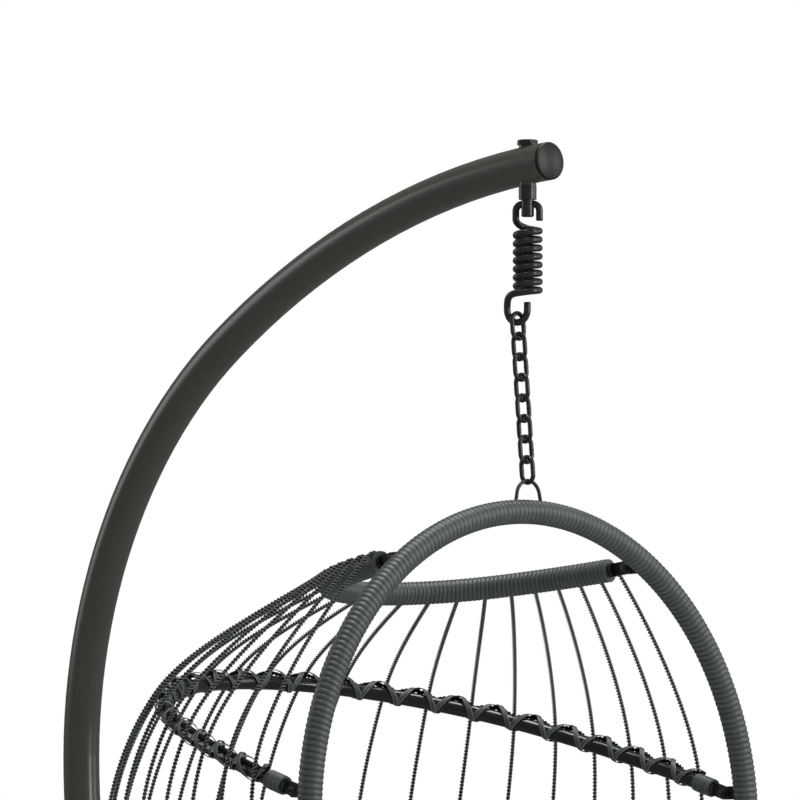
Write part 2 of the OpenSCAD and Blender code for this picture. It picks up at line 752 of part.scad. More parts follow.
module base_rear_socket() {
    color(steel_grey)
        difference() {
            union() {
                ring_tee(90, -1, foot_y);
                in_socket()
                    translate([0, 0, 16])
                        cylinder(d = pole_sleeve_d, h = socket_len - 20);
            }
            ring_tee_space(90, -1, foot_y);
            in_socket() {
                translate([0, 0, pole_stop - touch])
                    cylinder(d = pole_d + 2 * fit, h = socket_len);
                socket_cross_holes();
            }
            base_bolt_holes();
        }
}

module base_front_tee() {
    color(steel_grey)
        difference() {
            ring_tee(270, 1, front_y);
            ring_tee_space(270, 1, front_y);
            base_bolt_holes();
        }
}

module base_spine() {
    color(steel_grey)
        difference() {
            translate([0, front_y + spine_stop, floor_ring_z])
                rotate([-90, 0, 0])
                    difference() {
                        cylinder(d = spine_d, h = foot_y - front_y - 2 * spine_stop);
                        translate([0, 0, -1])
                            cylinder(d = spine_d - 2 * base_wall, h = foot_y - front_y);
                    }
            base_bolt_holes();
        }
}

// Bolt from above into a threaded insert in the tube's wall
module base_bolt(seat) {
    translate([0, 0, seat])
        bolt_head(base_head_d, base_head_h);
    translate([0, 0, 3])
        cylinder(d = base_bolt_d, h = seat - 3);
}

module base_bolts() {
    color(near_black) {
        for (a = [90 - ring_bolt_a, 90 + ring_bolt_a, 270 - ring_bolt_a, 270 + ring_bolt_a])
            on_ring(a)
                base_bolt(ring_sleeve_d / 2);
        for (y = spine_bolt_ys)
            translate([0, y, floor_ring_z])
                base_bolt(spine_sleeve_d / 2);
    }
}

module base_feet() {
    color(near_black)
        for (i = [0:foot_count - 1])
            difference() {
                on_ring(360 * i / foot_count)
                    translate([0, 0, -floor_ring_z])
                        cylinder(d = foot_d, h = foot_h + floor_tube_d * 0.16);
                translate([0, 0, floor_ring_z])
                    in_xy([0, floor_ring_y])
                        bend(floor_ring_r, 360 * i / foot_count - 5,
                            360 * i / foot_count + 5, floor_tube_d + fit);
            }
}

// ---------------------------------------------------------------- pin, spring and chain

module at_pin_hole() {
    translate([0, 0, pin_hole_z])
        rotate([0, 0, hook_dir])
            rotate([0, 90, 0])
                children();
}

nut_base = sleeve_top + 0.1 + washer_t;

module swivel_pin() {
    tip_z = collar_top - collar_len - pin_tip_len;
    color(near_black)
        difference() {
            union() {
                translate([0, 0, collar_top - collar_len])
                    cylinder(d = collar_d, h = collar_len);
                translate([0, 0, tip_z])
                    rotate_extrude()
                        polygon([[0, 0], [pin_d / 2 - 1.5, 0], [pin_d / 2, 1.5],
                            [pin_d / 2, nut_base + nut_h - tip_z - 1],
                            [pin_d / 2 - 1, nut_base + nut_h - tip_z],
                            [0, nut_base + nut_h - tip_z]]);
            }
            at_pin_hole()
                cylinder(d = pin_hole_d, h = 2 * collar_d, center = true);
        }
}

module pin_washer() {
    color(near_black)
        translate([0, 0, nut_base - washer_t])
            difference() {
                cylinder(d = washer_d, h = washer_t);
                translate([0, 0, -1])
                    cylinder(d = pin_d + 2 * run, h = washer_t + 2);
            }
}

module pin_nut() {
    color(near_black)
        translate([0, 0, nut_base])
            difference() {
                intersection() {
                    cylinder(d = nut_af / cos(30), h = nut_h, $fn = 6);
                    rotate_extrude()
                        polygon([[0, 0], [nut_af / 2 - 0.5, 0], [nut_af * 0.58, 1.2],
                            [nut_af * 0.58, nut_h - 1.2], [nut_af / 2 - 0.5, nut_h],
                            [0, nut_h]]);
                }
                translate([0, 0, -1])
                    cylinder(d = pin_d + 2 * run, h = nut_h + 2);
            }
}

module suspension_spring() {
    color(near_black)
        rotate([0, 0, hook_dir])
            tube_along(spring_line, spring_wire_d, 6);
}

module spring_hook() {
    color(near_black)
        rotate([0, 0, hook_dir])
            tube_along(hook_line, spring_wire_d, 8, [0, 0, 1]);
}

// A link hangs from the origin, in the plane y = 0, with its top wire's centre there
module link_shape() {
    bend_r = (link_in_w + link_wire_d) / 2;
    straight = link_in_len - link_in_w;
    translate([0, 0, -bend_r]) {
        in_xz([0, 0])
            bend(bend_r, 0, 180, link_wire_d);
        in_xz([0, -straight])
            bend(bend_r, 180, 360, link_wire_d);
        for (side = [-1, 1])
            translate([side * bend_r, 0, -straight])
                cylinder(d = link_wire_d, h = straight);
    }
}

module chain_link(i) {
    color(near_black)
        translate(chain_top - (i - 1) * link_step * chain_up)
            rotate([chain_rx, chain_ry, 0])
                rotate([0, 0, i % 2 == 0 ? 90 : 0])
                    link_shape();
}

// ---------------------------------------------------------------- basket

// The ring's legs run at ring_lean_a from upright, from the crown's ends down to the tube
module ring_legs(d) {
    from = [ring_crown_r * cos(ring_lean_a), ring_crown_z + ring_crown_r * sin(ring_lean_a)];
    down = [sin(ring_lean_a), -cos(ring_lean_a)];
    near = (from + [0, hoop_w]) * down;
    stop_r = hoop_w + hoop_tube_d / 2 + fit + ring_wire_d / 2 * sin(ring_lean_a);
    for (side = [0, 1])
        mirror([side, 0, 0])
            translate([from.x, 0, from.y])
                rotate([0, 180 - ring_lean_a, 0])
                    cylinder(d = d, h = -near - sqrt(near ^ 2 - norm(from + [0, hoop_w]) ^ 2
                        + stop_r ^ 2));
}

module hang_ring() {
    color(near_black) {
        in_xz([0, ring_crown_z])
            bend(ring_crown_r, ring_lean_a, 180 - ring_lean_a, ring_wire_d);
        for (side = [-1, 1])
            translate([side * ring_crown_r * cos(ring_lean_a), 0,
                    ring_crown_z + ring_crown_r * sin(ring_lean_a)])
                sphere(d = ring_wire_d + fit);
        ring_legs(ring_wire_d);
    }
}

// Tube round the hoop's centreline
module hoop_shape(d, bore) {
    in_xz([0, -hoop_w]) {
        bend(hoop_w, 0, 180, d, bore, seam);
        for (a = [0, 180])
            bend_ring(hoop_w, a, d, bore);
    }
    for (side = [0, 1])
        mirror([side, 0, 0])
            in_xz([hoop_side_x, -hoop_w])
                bend(hoop_side_r, -hoop_side_a, 0, d, bore, seam);
    in_xz([0, -hoop_w - hoop_low_h]) {
        bend(hoop_low_r, 180 + hoop_side_a, 270, d, bore, seam);
        bend(hoop_low_r, 270, 360 - hoop_side_a, d, bore, seam);
        for (a = [180 + hoop_side_a, 270, 360 - hoop_side_a])
            bend_ring(hoop_low_r, a, d, bore);
    }
}

// Hole beside the hoop's lowest seam, where the tube drains
module drain_hole() {
    translate([backing_len / 2 + drain_d, 0, -hoop_drop - wrap_d])
        cylinder(d = drain_d, h = wrap_d);
}

module hoop_tube() {
    color(steel_grey)
        difference() {
            hoop_shape(hoop_tube_d, hoop_tube_d - 2 * bar_wall);
            drain_hole();
        }
}

module hoop_wrap() {
    color(wicker)
        difference() {
            hoop_shape(wrap_d, hoop_tube_d + 2 * fit);
            ring_legs(ring_wire_d + 2 * fit);
            lug_plates(fit);
            drain_hole();
        }
}

// Plates behind the hoop that carry the bars' ends, grown by extra where they are cut out
module lug_plates(extra = 0) {
    weld_y = hoop_tube_d / 2 + touch / 4 - extra;
    for (bar = bars, side = [0, 1])
        mirror([side, 0, 0])
            translate([bar[0] + lug_t / 2 - extra, 0, -bar[7]])
                rotate([90, 0, 90])
                    linear_extrude(lug_t + 2 * extra) {
                        translate([weld_y, -lug_w / 2 - extra])
                            square([pivot_y - weld_y, lug_w + 2 * extra]);
                        translate([pivot_y, 0])
                            circle(d = lug_w + 2 * extra);
                    }
}

module hoop_lugs() {
    color(steel_grey)
        difference() {
            lug_plates();
            pivot_holes();
        }
}

module pivot_holes() {
    for (bar = bars)
        translate([0, pivot_y, -bar[7]])
            rotate([0, 90, 0])
                cylinder(d = bolt_d + 2 * bolt_fit, h = 3 * hoop_w, center = true);
}

// A bar's bends in its own plane, from a distance behind its pivots
module bar_bends(bar, start, d, bore = 0) {
    from = bar_side_a(bar, start);
    in_xy([0, bar[1] - bar[2]]) {
        bend(bar[2], bar[3], 180 - bar[3], d, bore, seam);
        for (a = [bar[3], 180 - bar[3]])
            bend_ring(bar[2], a, d, bore);
    }
    for (side = [0, 1])
        mirror([side, 0, 0])
            in_xy([bar[5], bar[6]])
                bend(bar[4], from, bar[3], d, bore, seam);
}

tab_len = lug_w / 2 + 14;      // from a pivot to the end of the round tube
tab_grip = 6;                  // how far the flattened end reaches into the round tube
top_wrap_from = tab_len + 9;   // from a pivot to the start of the top bar's wrap

// Tube with flattened ends that are drilled for the pivot bolts
module bar_tube(bar) {
    difference() {
        in_bar(bar) {
            bar_bends(bar, tab_len, bar_d, bar_d - 2 * bar_wall);
            for (side = [-1, 1])
                translate([side * bar[0] - lug_t / 2, 0, 0])
                    rotate([90, 0, 90])
                        linear_extrude(lug_t) {
                            circle(d = lug_w);
                            translate([0, -lug_w / 2])
                                square([tab_len + tab_grip, lug_w]);
                        }
        }
        pivot_holes();
    }
}

module top_bar() {
    color(near_black)
        bar_tube(bars[TOP]);
}

module top_bar_wrap() {
    color(wicker)
        in_bar(bars[TOP])
            bar_bends(bars[TOP], top_wrap_from, top_wrap_d, bar_d + 2 * fit);
}

module middle_bar() {
    color(near_black)
        bar_tube(bars[MIDDLE]);
}

module middle_bar_collars() {
    bar = bars[MIDDLE];
    from = bar_side_a(bar, tab_len + 2);
    to = from + collar_wrap_len / bar[4] * deg;
    color(wicker)
        in_bar(bar)
            for (side = [0, 1])
                mirror([side, 0, 0])
                    in_xy([bar[5], bar[6]])
                        bend(bar[4], from, to, collar_wrap_d, bar_d + 2 * fit);
}

// One flat strip, spiralling round the middle bar in direction turn at radius r
module binding_strip(turn, r) {
    bar = bars[MIDDLE];
    whole = bar_len(bar) - 2 * bind_first;
    ring_count = bind_turns * bind_rings;
    line = [for (i = [0:ring_count])
        beside_bar(bar, bind_first + whole * i / ring_count, r,
            turn * 360 * i / bind_rings)];
    dirs = line_dirs(line);
    skin([for (i = [0:ring_count]) let (
            s = bind_first + whole * i / ring_count,
            out = unit(line[i] - beside_bar(bar, s, 0, 0)),
            across = unit(cross(dirs[i], out)),
            up = cross(across, dirs[i]))
        [for (corner = [[1, 1], [1, -1], [-1, -1], [-1, 1]])
            line[i] + corner[0] * strip_w / 2 * across + corner[1] * strip_t / 2 * up]]);
}

module middle_bar_binding() {
    color(near_black) {
        binding_strip(1, strip_rs[0]);
        binding_strip(-1, strip_rs[1]);
    }
}

module seat_bar() {
    color(near_black)
        bar_tube(bars[SEAT]);
}

module bottom_bar() {
    color(near_black)
        bar_tube(bars[BOTTOM]);
}

head_h = 5;
pivot_nut_h = 6.5;

module pivot_bolts() {
    color(near_black)
        for (bar = bars, side = [0, 1])
            mirror([side, 0, 0])
                translate([bar[0] - lug_t / 2 - pivot_nut_h - 2, pivot_y, -bar[7]])
                    rotate([0, 90, 0]) {
                        cylinder(d = bolt_d, h = 2 * lug_t + pivot_nut_h + 2);
                        translate([0, 0, 2 * lug_t + pivot_nut_h + 2])
                            bolt_head(bolt_d * 1.75, head_h);
                    }
}

module pivot_nuts() {
    color(near_black)
        for (bar = bars, side = [0, 1])
            mirror([side, 0, 0])
                translate([bar[0] - lug_t / 2 - pivot_nut_h, pivot_y, -bar[7]])
                    rotate([0, 90, 0])
                        difference() {
                            cylinder(d = bolt_d * 1.85, h = pivot_nut_h, $fn = 6);
                            translate([0, 0, -1])
                                cylinder(d = bolt_d + 2 * bolt_fit, h = pivot_nut_h + 2);
                        }
}

module cords(group) {
    each_group = cord_count / cord_groups;
    color(wicker)
        for (i = [(group - 1) * each_group:group * each_group - 1])
            tube_along(cord_lines[i], cord_d, 6, [1, 0, 0]);
}

module seat_cushion() {
    over = [for (i = [0:pad_rings]) sin(90 * i / pad_rings)];
    rings = [for (i = [1:2 * pad_rings - 1])
        let (part = i <= pad_rings ? over[i] : over[2 * pad_rings - i])
        [for (k = [0:pad_around - 1])
            let (a = 360 * k / pad_around,
                p = part * pad_rim(a) * [pad_w * cos(a), pad_l * sin(a)],
                z = i <= pad_rings ? pad_under(part)
                    : pad_over(part) - pad_dip(p) * (1 - part ^ 4))
            [p.x, pad_y + p.y, pad_seat + z]]];
    color(fabric_grey)
        skin(rings);
}

from_axis() pole_upper();
from_axis() pole_lower();
from_axis() pole_joint_sleeve();
from_axis() pole_bolts();
from_axis() arm_sleeve();
from_axis() arm_end_cap();
from_axis() base_ring_left();
from_axis() base_ring_right();
from_axis() base_rear_socket();
from_axis() base_front_tee();
from_axis() base_spine();
from_axis() base_bolts();
from_axis() base_feet();
from_axis() swivel_pin();
from_axis() pin_washer();
from_axis() pin_nut();
from_axis() suspension_spring();
from_axis() spring_hook();
from_axis() chain_link(1);  // chain_link_1
from_axis() chain_link(2);  // chain_link_2
from_axis() chain_link(3);  // chain_link_3
from_axis() chain_link(4);  // chain_link_4
from_axis() chain_link(5);  // chain_link_5
from_axis() chain_link(6);  // chain_link_6
from_axis() chain_link(7);  // chain_link_7
from_axis() chain_link(8);  // chain_link_8
from_axis() in_basket() hang_ring();
from_axis() in_basket() hoop_tube();
from_axis() in_basket() hoop_wrap();
from_axis() in_basket() hoop_lugs();
from_axis() in_basket() top_bar();
from_axis() in_basket() top_bar_wrap();
from_axis() in_basket() middle_bar();
from_axis() in_basket() middle_bar_collars();
from_axis() in_basket() middle_bar_binding();
from_axis() in_basket() seat_bar();
from_axis() in_basket() bottom_bar();
from_axis() in_basket() pivot_bolts();
from_axis() in_basket() pivot_nuts();
from_axis() in_basket() cords(1);  // cords_1
from_axis() in_basket() cords(2);  // cords_2
from_axis() in_basket() cords(3);  // cords_3
from_axis() in_basket() cords(4);  // cords_4
from_axis() in_basket() cords(5);  // cords_5
from_axis() in_basket() cords(6);  // cords_6
from_axis() in_basket() seat_cushion();
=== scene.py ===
"""Hanging egg chair: wicker wraps, twisted cords, lashings, spring, chain and cushion round the frame."""
import json
import math

import bmesh
import bpy
import numpy as np
from mathutils import Matrix, Vector


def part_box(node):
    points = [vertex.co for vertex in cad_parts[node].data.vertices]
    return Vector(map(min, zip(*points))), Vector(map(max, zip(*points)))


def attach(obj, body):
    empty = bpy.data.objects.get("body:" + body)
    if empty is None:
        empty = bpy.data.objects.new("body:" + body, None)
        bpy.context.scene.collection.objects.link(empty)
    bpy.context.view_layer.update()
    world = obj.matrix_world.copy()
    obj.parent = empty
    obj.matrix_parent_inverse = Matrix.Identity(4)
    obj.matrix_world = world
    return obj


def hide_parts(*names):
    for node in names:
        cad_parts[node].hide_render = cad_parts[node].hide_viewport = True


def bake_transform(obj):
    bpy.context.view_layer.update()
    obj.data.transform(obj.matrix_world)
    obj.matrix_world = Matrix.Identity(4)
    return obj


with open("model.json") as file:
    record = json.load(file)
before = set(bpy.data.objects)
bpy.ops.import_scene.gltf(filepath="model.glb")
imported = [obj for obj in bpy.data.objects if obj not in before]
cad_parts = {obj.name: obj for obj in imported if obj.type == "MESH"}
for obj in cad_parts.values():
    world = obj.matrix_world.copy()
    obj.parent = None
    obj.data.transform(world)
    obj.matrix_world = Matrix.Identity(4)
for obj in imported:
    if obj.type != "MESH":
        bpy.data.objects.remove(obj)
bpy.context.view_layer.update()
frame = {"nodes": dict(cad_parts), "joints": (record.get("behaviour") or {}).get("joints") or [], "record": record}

MM = 0.001
TAU = 2 * math.pi
JOINTS = {joint["name"]: joint for joint in frame["joints"]}


# ---------------------------------------------------------------- the chair's own sizes, in millimetres

# Centrelines have a point about this far apart
LINE_STEP = 6.0

# Hoop: round above its widest line, with two side bends and a bottom bend below it
HOOP_W = 497
HOOP_LOW_R = 400
HOOP_LOW_H = 163
HOOP_SIDE_R = (HOOP_W ** 2 + HOOP_LOW_H ** 2 - HOOP_LOW_R ** 2) / (2 * (HOOP_W - HOOP_LOW_R))
HOOP_SIDE_A = math.atan2(HOOP_LOW_H, HOOP_SIDE_R - HOOP_W)
WRAP_D = 40
WRAP_PITCH = 9.3
LEAN = 1.5
RING_H = 30.7

# Bars, each list from the top bar down: top, middle, seat and bottom bar
BAR_D = 24
PIVOT_Y = 40
PIVOT_DROPS = (81, 450, 800, 960)
BAR_REACHES = (331, 642, 790, 412)
BAR_TILTS = (-5.7, 18.3, 13.2, -5.6)
BAR_REAR_RS = (219, 454, 385, 215)
BAR_JOIN_AS = (30, 21, 35, 30)
BAR_INSET = 7
TAB_LEN = 25
TOP_WRAP_D = 39
TOP_WRAP_START = TAB_LEN + 9
TOP_WRAP_PITCH = 7.6
TOP_WRAP_RIDGE = 1.3
COLLAR_WRAP_D = 31
COLLAR_START = TAB_LEN + 2
COLLAR_LEN = 36
COLLAR_PITCH = 6.0
COLLAR_RIDGE = 1.0
COLLAR_POINTS = 12

# Places of two bars in the lists
TOP, MIDDLE = 0, 1

# Lashing of the middle bar: its strips stand out by the bulge on the side where they pass over the cords
BIND_TURNS = 25
BIND_FIRST = 66
BIND_SIDE = 48
BIND_POINTS = 24
BIND_GAP = 0.3
BIND_SLIP = 0.5
BULGE_H = 8.5
BULGE_SHARPNESS = 1.4
STRIP_W = 8.4
STRIP_T = 1.5
STRIP_SIDES = 10

# Dark cord between the bar and the strips, painted shade for the shaded backs of the strips: it rises under their
# outer crossings and sinks between them
LINING_D = 7.5
LINING_LAY = 14
LINING_SUNK = 4
LINING_RISE = 10.5
LINING_FULLNESS = 0.7

# Cords: each starts sunk into the top bar's wrap and comes down round it to the side that it leaves from
CORD_COUNT = 24
CORD_GROUPS = 6
CORD_D = 7.8
CORD_FIRSTS = (40, 80, 70, 52)
CORD_SIDES = (35, 15, -8, -50)
CORD_SPREAD = 27
CORD_END_A = 20
CORD_END_SUNK = 1
CORD_OFFS = (TOP_WRAP_D / 2 + CORD_D * 0.4, 22.4, BAR_D / 2 + 5, BAR_D / 2 + 5)
CORD_SUNK = 5
CORD_ROUND_A = 34
CORD_ROUND_STEP_A = 6
CORD_ROUND_POINTS = 5
CORD_LEAVE = 0.25

# Suspension spring with its top hook, its coil and its low hook
SPRING_WIRE_D = 11.4
SPRING_SIDES = 16
SPRING_END = 1.2
COIL_R = 18.8
COIL_PITCH = 13.7
COIL_TURNS = 7.25
COIL_IN = 14.5
COIL_POINTS = 28
TOP_HOOK_R = 20
TOP_BEND_R = 11
TOP_PRONG = 26.6
TOP_LEG = 23
HOOK_DIR = -62
HOOK_W = 17
HOOK_H = 21
HOOK_SIDE = 17.7
HOOK_PRONG = 11
HOOK_DROP = 25.5
HOOK_SWING = 52

# Chain link
LINK_WIRE_D = 7.6
LINK_IN_LEN = 33.7
LINK_IN_W = 17.8

# The basket's own frame: x to the right, y to the rear, z up, with the top of the hoop at its origin
RING_JOINT = Vector(JOINTS["basket_swing"]["pos_m"])
AXIS = Vector((RING_JOINT.x, RING_JOINT.y, 0))
IN_BASKET = (Matrix.Translation(RING_JOINT) @ Matrix.Rotation(math.radians(-LEAN), 4, "X")
             @ Matrix.Translation((0, 0, -(RING_H + WRAP_D / 2) * MM)) @ Matrix.Scale(MM, 4))


# ---------------------------------------------------------------- camera

def make_camera():
    """A long lens in front of the chair's left side, at the height of the basket's middle."""
    away, eye_height, aim_left, aim_up = 12.0, 0.837, 0.986, 3.346
    data = bpy.data.cameras.new("camera")
    data.sensor_width = 36
    data.lens = 334.8
    data.clip_end = 60
    camera = bpy.data.objects.new("camera", data)
    bpy.context.scene.collection.objects.link(camera)
    camera.location = AXIS + Vector((-away, -away, 0)) * math.sqrt(0.5) + Vector((0, 0, eye_height))
    camera.rotation_euler = (math.radians(90 + aim_up), 0, math.radians(-45 + aim_left))
    bpy.context.scene.camera = camera


make_camera()


# ---------------------------------------------------------------- node trees written as expressions

class Num:
    """A socket that carries a number. Arithmetic on it adds Math nodes."""

    def __init__(self, graph, socket):
        self.graph, self.socket = graph, socket

    def _math(self, operation, *values):
        return self.graph.math(operation, *values)

    def __add__(self, other):
        return self._math("ADD", self, other)

    def __sub__(self, other):
        return self._math("SUBTRACT", self, other)

    def __rsub__(self, other):
        return self._math("SUBTRACT", other, self)

    def __mul__(self, other):
        return self._math("MULTIPLY", self, other)

    def __truediv__(self, other):
        return self._math("DIVIDE", self, other)

    def __pow__(self, other):
        return self._math("POWER", self, other)

    __radd__, __rmul__ = __add__, __mul__

    def sin(self):
        return self._math("SINE", self)

    def abs(self):
        return self._math("ABSOLUTE", self)

    def frac(self):
        return self._math("FRACT", self)

    def floor(self):
        return self._math("FLOOR", self)

    def clamped(self):
        return self._math("MAXIMUM", self._math("MINIMUM", self, 1.0), 0.0)


class Graph:
    """A node tree, of a material or of Geometry Nodes, that is being written."""

    def __init__(self, tree):
        self.tree = tree
        tree.nodes.clear()

    def node(self, kind, inputs=None, **settings):
        made = self.tree.nodes.new(kind)
        for name, value in settings.items():
            setattr(made, name, value)
        for name, value in (inputs or {}).items():
            self.feed(made.inputs[name], value)
        return made

    def feed(self, socket, value):
        if isinstance(value, Num):
            self.tree.links.new(value.socket, socket)
        elif isinstance(value, bpy.types.NodeSocket):
            self.tree.links.new(value, socket)
        else:
            socket.default_value = value

    def math(self, operation, *values):
        made = self.node("ShaderNodeMath", dict(enumerate(values)), operation=operation)
        return Num(self, made.outputs[0])

    def combined(self, x, y, z):
        return self.node("ShaderNodeCombineXYZ", {"X": x, "Y": y, "Z": z}).outputs[0]

    def parts(self, vector):
        made = self.node("ShaderNodeSeparateXYZ", {0: vector})
        return [Num(self, socket) for socket in made.outputs]


class Paint(Graph):
    """The node tree of a material with one Principled surface."""

    def __init__(self, name):
        self.material = bpy.data.materials.new(name)
        self.material.use_nodes = True
        super().__init__(self.material.node_tree)
        self.surface = self.node("ShaderNodeBsdfPrincipled")
        self.out = self.node("ShaderNodeOutputMaterial", {"Surface": self.surface.outputs[0]})
        self.place = self.node("ShaderNodeTexCoord").outputs["Object"]

    def noise(self, scale, detail=2.0, vector=None):
        made = self.node("ShaderNodeTexNoise", {"Vector": vector or self.place, "Scale": scale,
                                                "Detail": detail})
        return Num(self, made.outputs[0])

    def attribute(self, name):
        return Num(self, self.node("ShaderNodeAttribute", attribute_name=name).outputs["Fac"])

    def mixed(self, share, low, high):
        made = self.node("ShaderNodeMix", {0: share, 6: low, 7: high}, data_type="RGBA")
        return made.outputs[2]

    def bumped(self, height, depth):
        made = self.node("ShaderNodeBump", {"Height": height, "Distance": depth, "Strength": 1.0})
        return made.outputs[0]

    def finish(self, **sockets):
        for name, value in sockets.items():
            self.feed(self.surface.inputs[name.replace("_", " ")], value)
        return self.material


def tone(red, green, blue, share=1.0):
    """Screen values from 0 to 255 as the linear colour that a shader takes."""
    linear = [((v / 255 + 0.055) / 1.055) ** 2.4 if v > 10 else v / 255 / 12.92
              for v in (red * share, green * share, blue * share)]
    return (*linear, 1.0)


# ---------------------------------------------------------------- materials

def coated(name, colour, roughness, grain_depth):
    """Powder coat or dip paint: a little uneven in tone and gloss, with a fine orange-peel skin."""
    paint = Paint(name)
    cloud = paint.noise(scale=7.0, detail=3.0)
    skin = paint.noise(scale=520.0)
    spread = 0.04
    return paint.finish(Base_Color=paint.mixed(cloud, tone(*colour, 0.97), tone(*colour, 1.03)),
                        Roughness=cloud * spread + (roughness - spread / 2),
                        Specular_IOR_Level=0.5,
                        Normal=paint.bumped(skin, grain_depth))


def domed(name, colour, node):
    """Satin plastic that shades a disc as if it bulged a little from its middle."""
    paint = Paint(name)
    low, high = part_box(node)
    spot = paint.node("ShaderNodeVectorMath", {0: paint.place, 1: (low + high) / 2}, operation="DISTANCE")
    reach = Num(paint, spot.outputs["Value"])
    bulge = 6.0
    return paint.finish(Base_Color=tone(*colour),
                        Roughness=paint.noise(scale=60.0) * 0.1 + 0.38,
                        Specular_IOR_Level=0.3,
                        Normal=paint.bumped(reach * reach * -bulge, 1.0))


def wicker(name, colour):
    """Flat rattan strand wound side by side: painted shade between the turns, with fine lines along each strand.
    """
    paint = Paint(name)
    lift = paint.attribute("lift")
    strand = paint.attribute("strand")
    wander = paint.noise(scale=6.0) * 2.0
    lines = paint.noise(1.0, 3.0, paint.combined(lift * 9.0, strand * 7.0, wander))
    body = paint.mixed(strand, tone(*colour, 0.96), tone(*colour, 1.04))
    line_share = ((lines - 0.5) * 3.0 + 0.4).clamped() * 0.2
    lined = paint.mixed(line_share, body, tone(*colour, 0.75))
    # painted shade in the valleys between the turns, darkest at the bottom of each valley
    valley_painted_shade = ((1.0 - lift) ** 1.3).clamped() * 0.85
    fibre_depth = 0.00025
    return paint.finish(Base_Color=paint.mixed(valley_painted_shade, lined, tone(*colour, 0.35)),
                        Roughness=lines * 0.12 + 0.38,
                        Specular_IOR_Level=0.45,
                        Normal=paint.bumped(lines, fibre_depth))


def twisted(name, colour, gloss=0.4):
    """Twisted rattan cord: fine lines along the two plies and painted shade in the groove between them."""
    paint = Paint(name)
    along, inner = paint.attribute("along"), paint.attribute("inner")
    lines = paint.noise(1.0, 2.0, paint.combined(inner * 7.0, along * 25.0, 0.0))
    cloud = paint.noise(scale=60.0)
    body = paint.mixed(cloud, tone(*colour, 0.85), tone(*colour, 1.12))
    # painted shade in the groove where the two plies face each other
    groove_painted_shade = ((inner - 0.3) * 3.0).clamped() * 0.9
    fibre_depth = 0.0003
    return paint.finish(Base_Color=paint.mixed(groove_painted_shade, body, tone(*colour, 0.2)),
                        Roughness=lines * 0.2 + (0.85 - gloss),
                        Specular_IOR_Level=gloss,
                        Normal=paint.bumped(lines, fibre_depth))


def strip_rattan(name, colour):
    """Flat lashing strip with painted highlights along its rolled edges."""
    paint = Paint(name)
    edge = paint.attribute("edge")
    lines = paint.noise(1.0, 2.0, paint.combined(edge * 8.0, paint.attribute("along") * 30.0, 0.0))
    body = paint.mixed((lines * 1.2).clamped(), tone(*colour, 0.8), tone(*colour, 1.1))
    # painted highlight along the strip's edges
    edge_painted_highlight = (edge ** 5.0).clamped() * 0.9
    fibre_depth = 0.0002
    return paint.finish(Base_Color=paint.mixed(edge_painted_highlight, body, tone(*colour, 2.1)),
                        Roughness=lines * 0.2 + 0.4,
                        Specular_IOR_Level=0.45,
                        Normal=paint.bumped(lines, fibre_depth))


def woven(name, colour, thread=0.0011):
    """Plain-woven outdoor fabric with slubs."""
    paint = Paint(name)
    x, y, z = paint.parts(paint.place)
    turns = math.pi / thread
    warp = ((x + z * 0.5) * turns).sin()
    weft = ((y + z) * turns).sin()
    weave = (warp * weft).abs() ** 0.5
    slub = paint.noise(1.0, 2.0, paint.combined(x * 420.0, y * 40.0, z * 60.0))
    cloud = paint.noise(scale=9.0, detail=3.0)
    base = paint.mixed(cloud, tone(*colour, 0.94), tone(*colour, 1.05))
    threads = paint.mixed(slub, tone(*colour, 0.86), base)
    thread_depth = 0.00035
    return paint.finish(Base_Color=paint.mixed((1.0 - weave) * 0.4, threads, tone(*colour, 0.6)),
                        Roughness=weave * -0.08 + 0.92,
                        Specular_IOR_Level=0.2,
                        Sheen_Weight=0.25,
                        Normal=paint.bumped(weave + slub * 0.6, thread_depth))


def rubbery(name, colour):
    """Matt rubber with a fine moulded grain."""
    paint = Paint(name)
    grain = paint.noise(scale=900.0, detail=3.0)
    grain_depth = 0.0001
    return paint.finish(Base_Color=paint.mixed(grain, tone(*colour, 0.85), tone(*colour, 1.2)),
                        Roughness=grain * 0.15 + 0.7,
                        Normal=paint.bumped(grain, grain_depth))


STAND_PAINT = coated("stand powder coat", (64, 64, 60), 0.27, 0.000015)
BAR_PAINT = coated("bar paint", (30, 30, 30), 0.2, 0.00001)
BLACK_STEEL = coated("black dipped steel", (37, 37, 35), 0.34, 0.00003)
CAP_PLASTIC = domed("end cap plastic", (30, 31, 29), "arm_end_cap")
WICKER = wicker("hoop wicker", (76, 83, 78))
CORD_RATTAN = twisted("cord rattan", (92, 98, 94))
# painted shade: a near-black cord standing for the shaded backs of the lashing strips
LINING_PAINTED_SHADE = twisted("lining rattan", (30, 30, 29), 0.1)
STRIP_RATTAN = strip_rattan("lashing rattan", (62, 67, 64))
CUSHION_FABRIC = woven("cushion fabric", (158, 157, 152))
PIPING_FABRIC = woven("piping fabric", (146, 145, 140), 0.0008)
RUBBER = rubbery("foot rubber", (30, 30, 30))


# ---------------------------------------------------------------- meshes

def new_piece(name, mesh, material=None):
    """A mesh as an object at the world's origin, smooth, with its faces pointing outwards."""
    shape = bmesh.new()
    shape.from_mesh(mesh)
    if shape.calc_volume(signed=True) < 0:
        bmesh.ops.reverse_faces(shape, faces=shape.faces)
    shape.to_mesh(mesh)
    shape.free()
    mesh.name = name
    piece = bpy.data.objects.new(name, mesh)
    bpy.context.scene.collection.objects.link(piece)
    mesh.shade_smooth()
    if material:
        mesh.materials.clear()
        mesh.materials.append(material)
    return piece


def settle(piece, body, slot, *nodes):
    """The piece rides on a body and stands for CAD nodes, which it hides. The slot is not used."""
    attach(piece, body)
    if nodes:
        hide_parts(*nodes)
    return piece


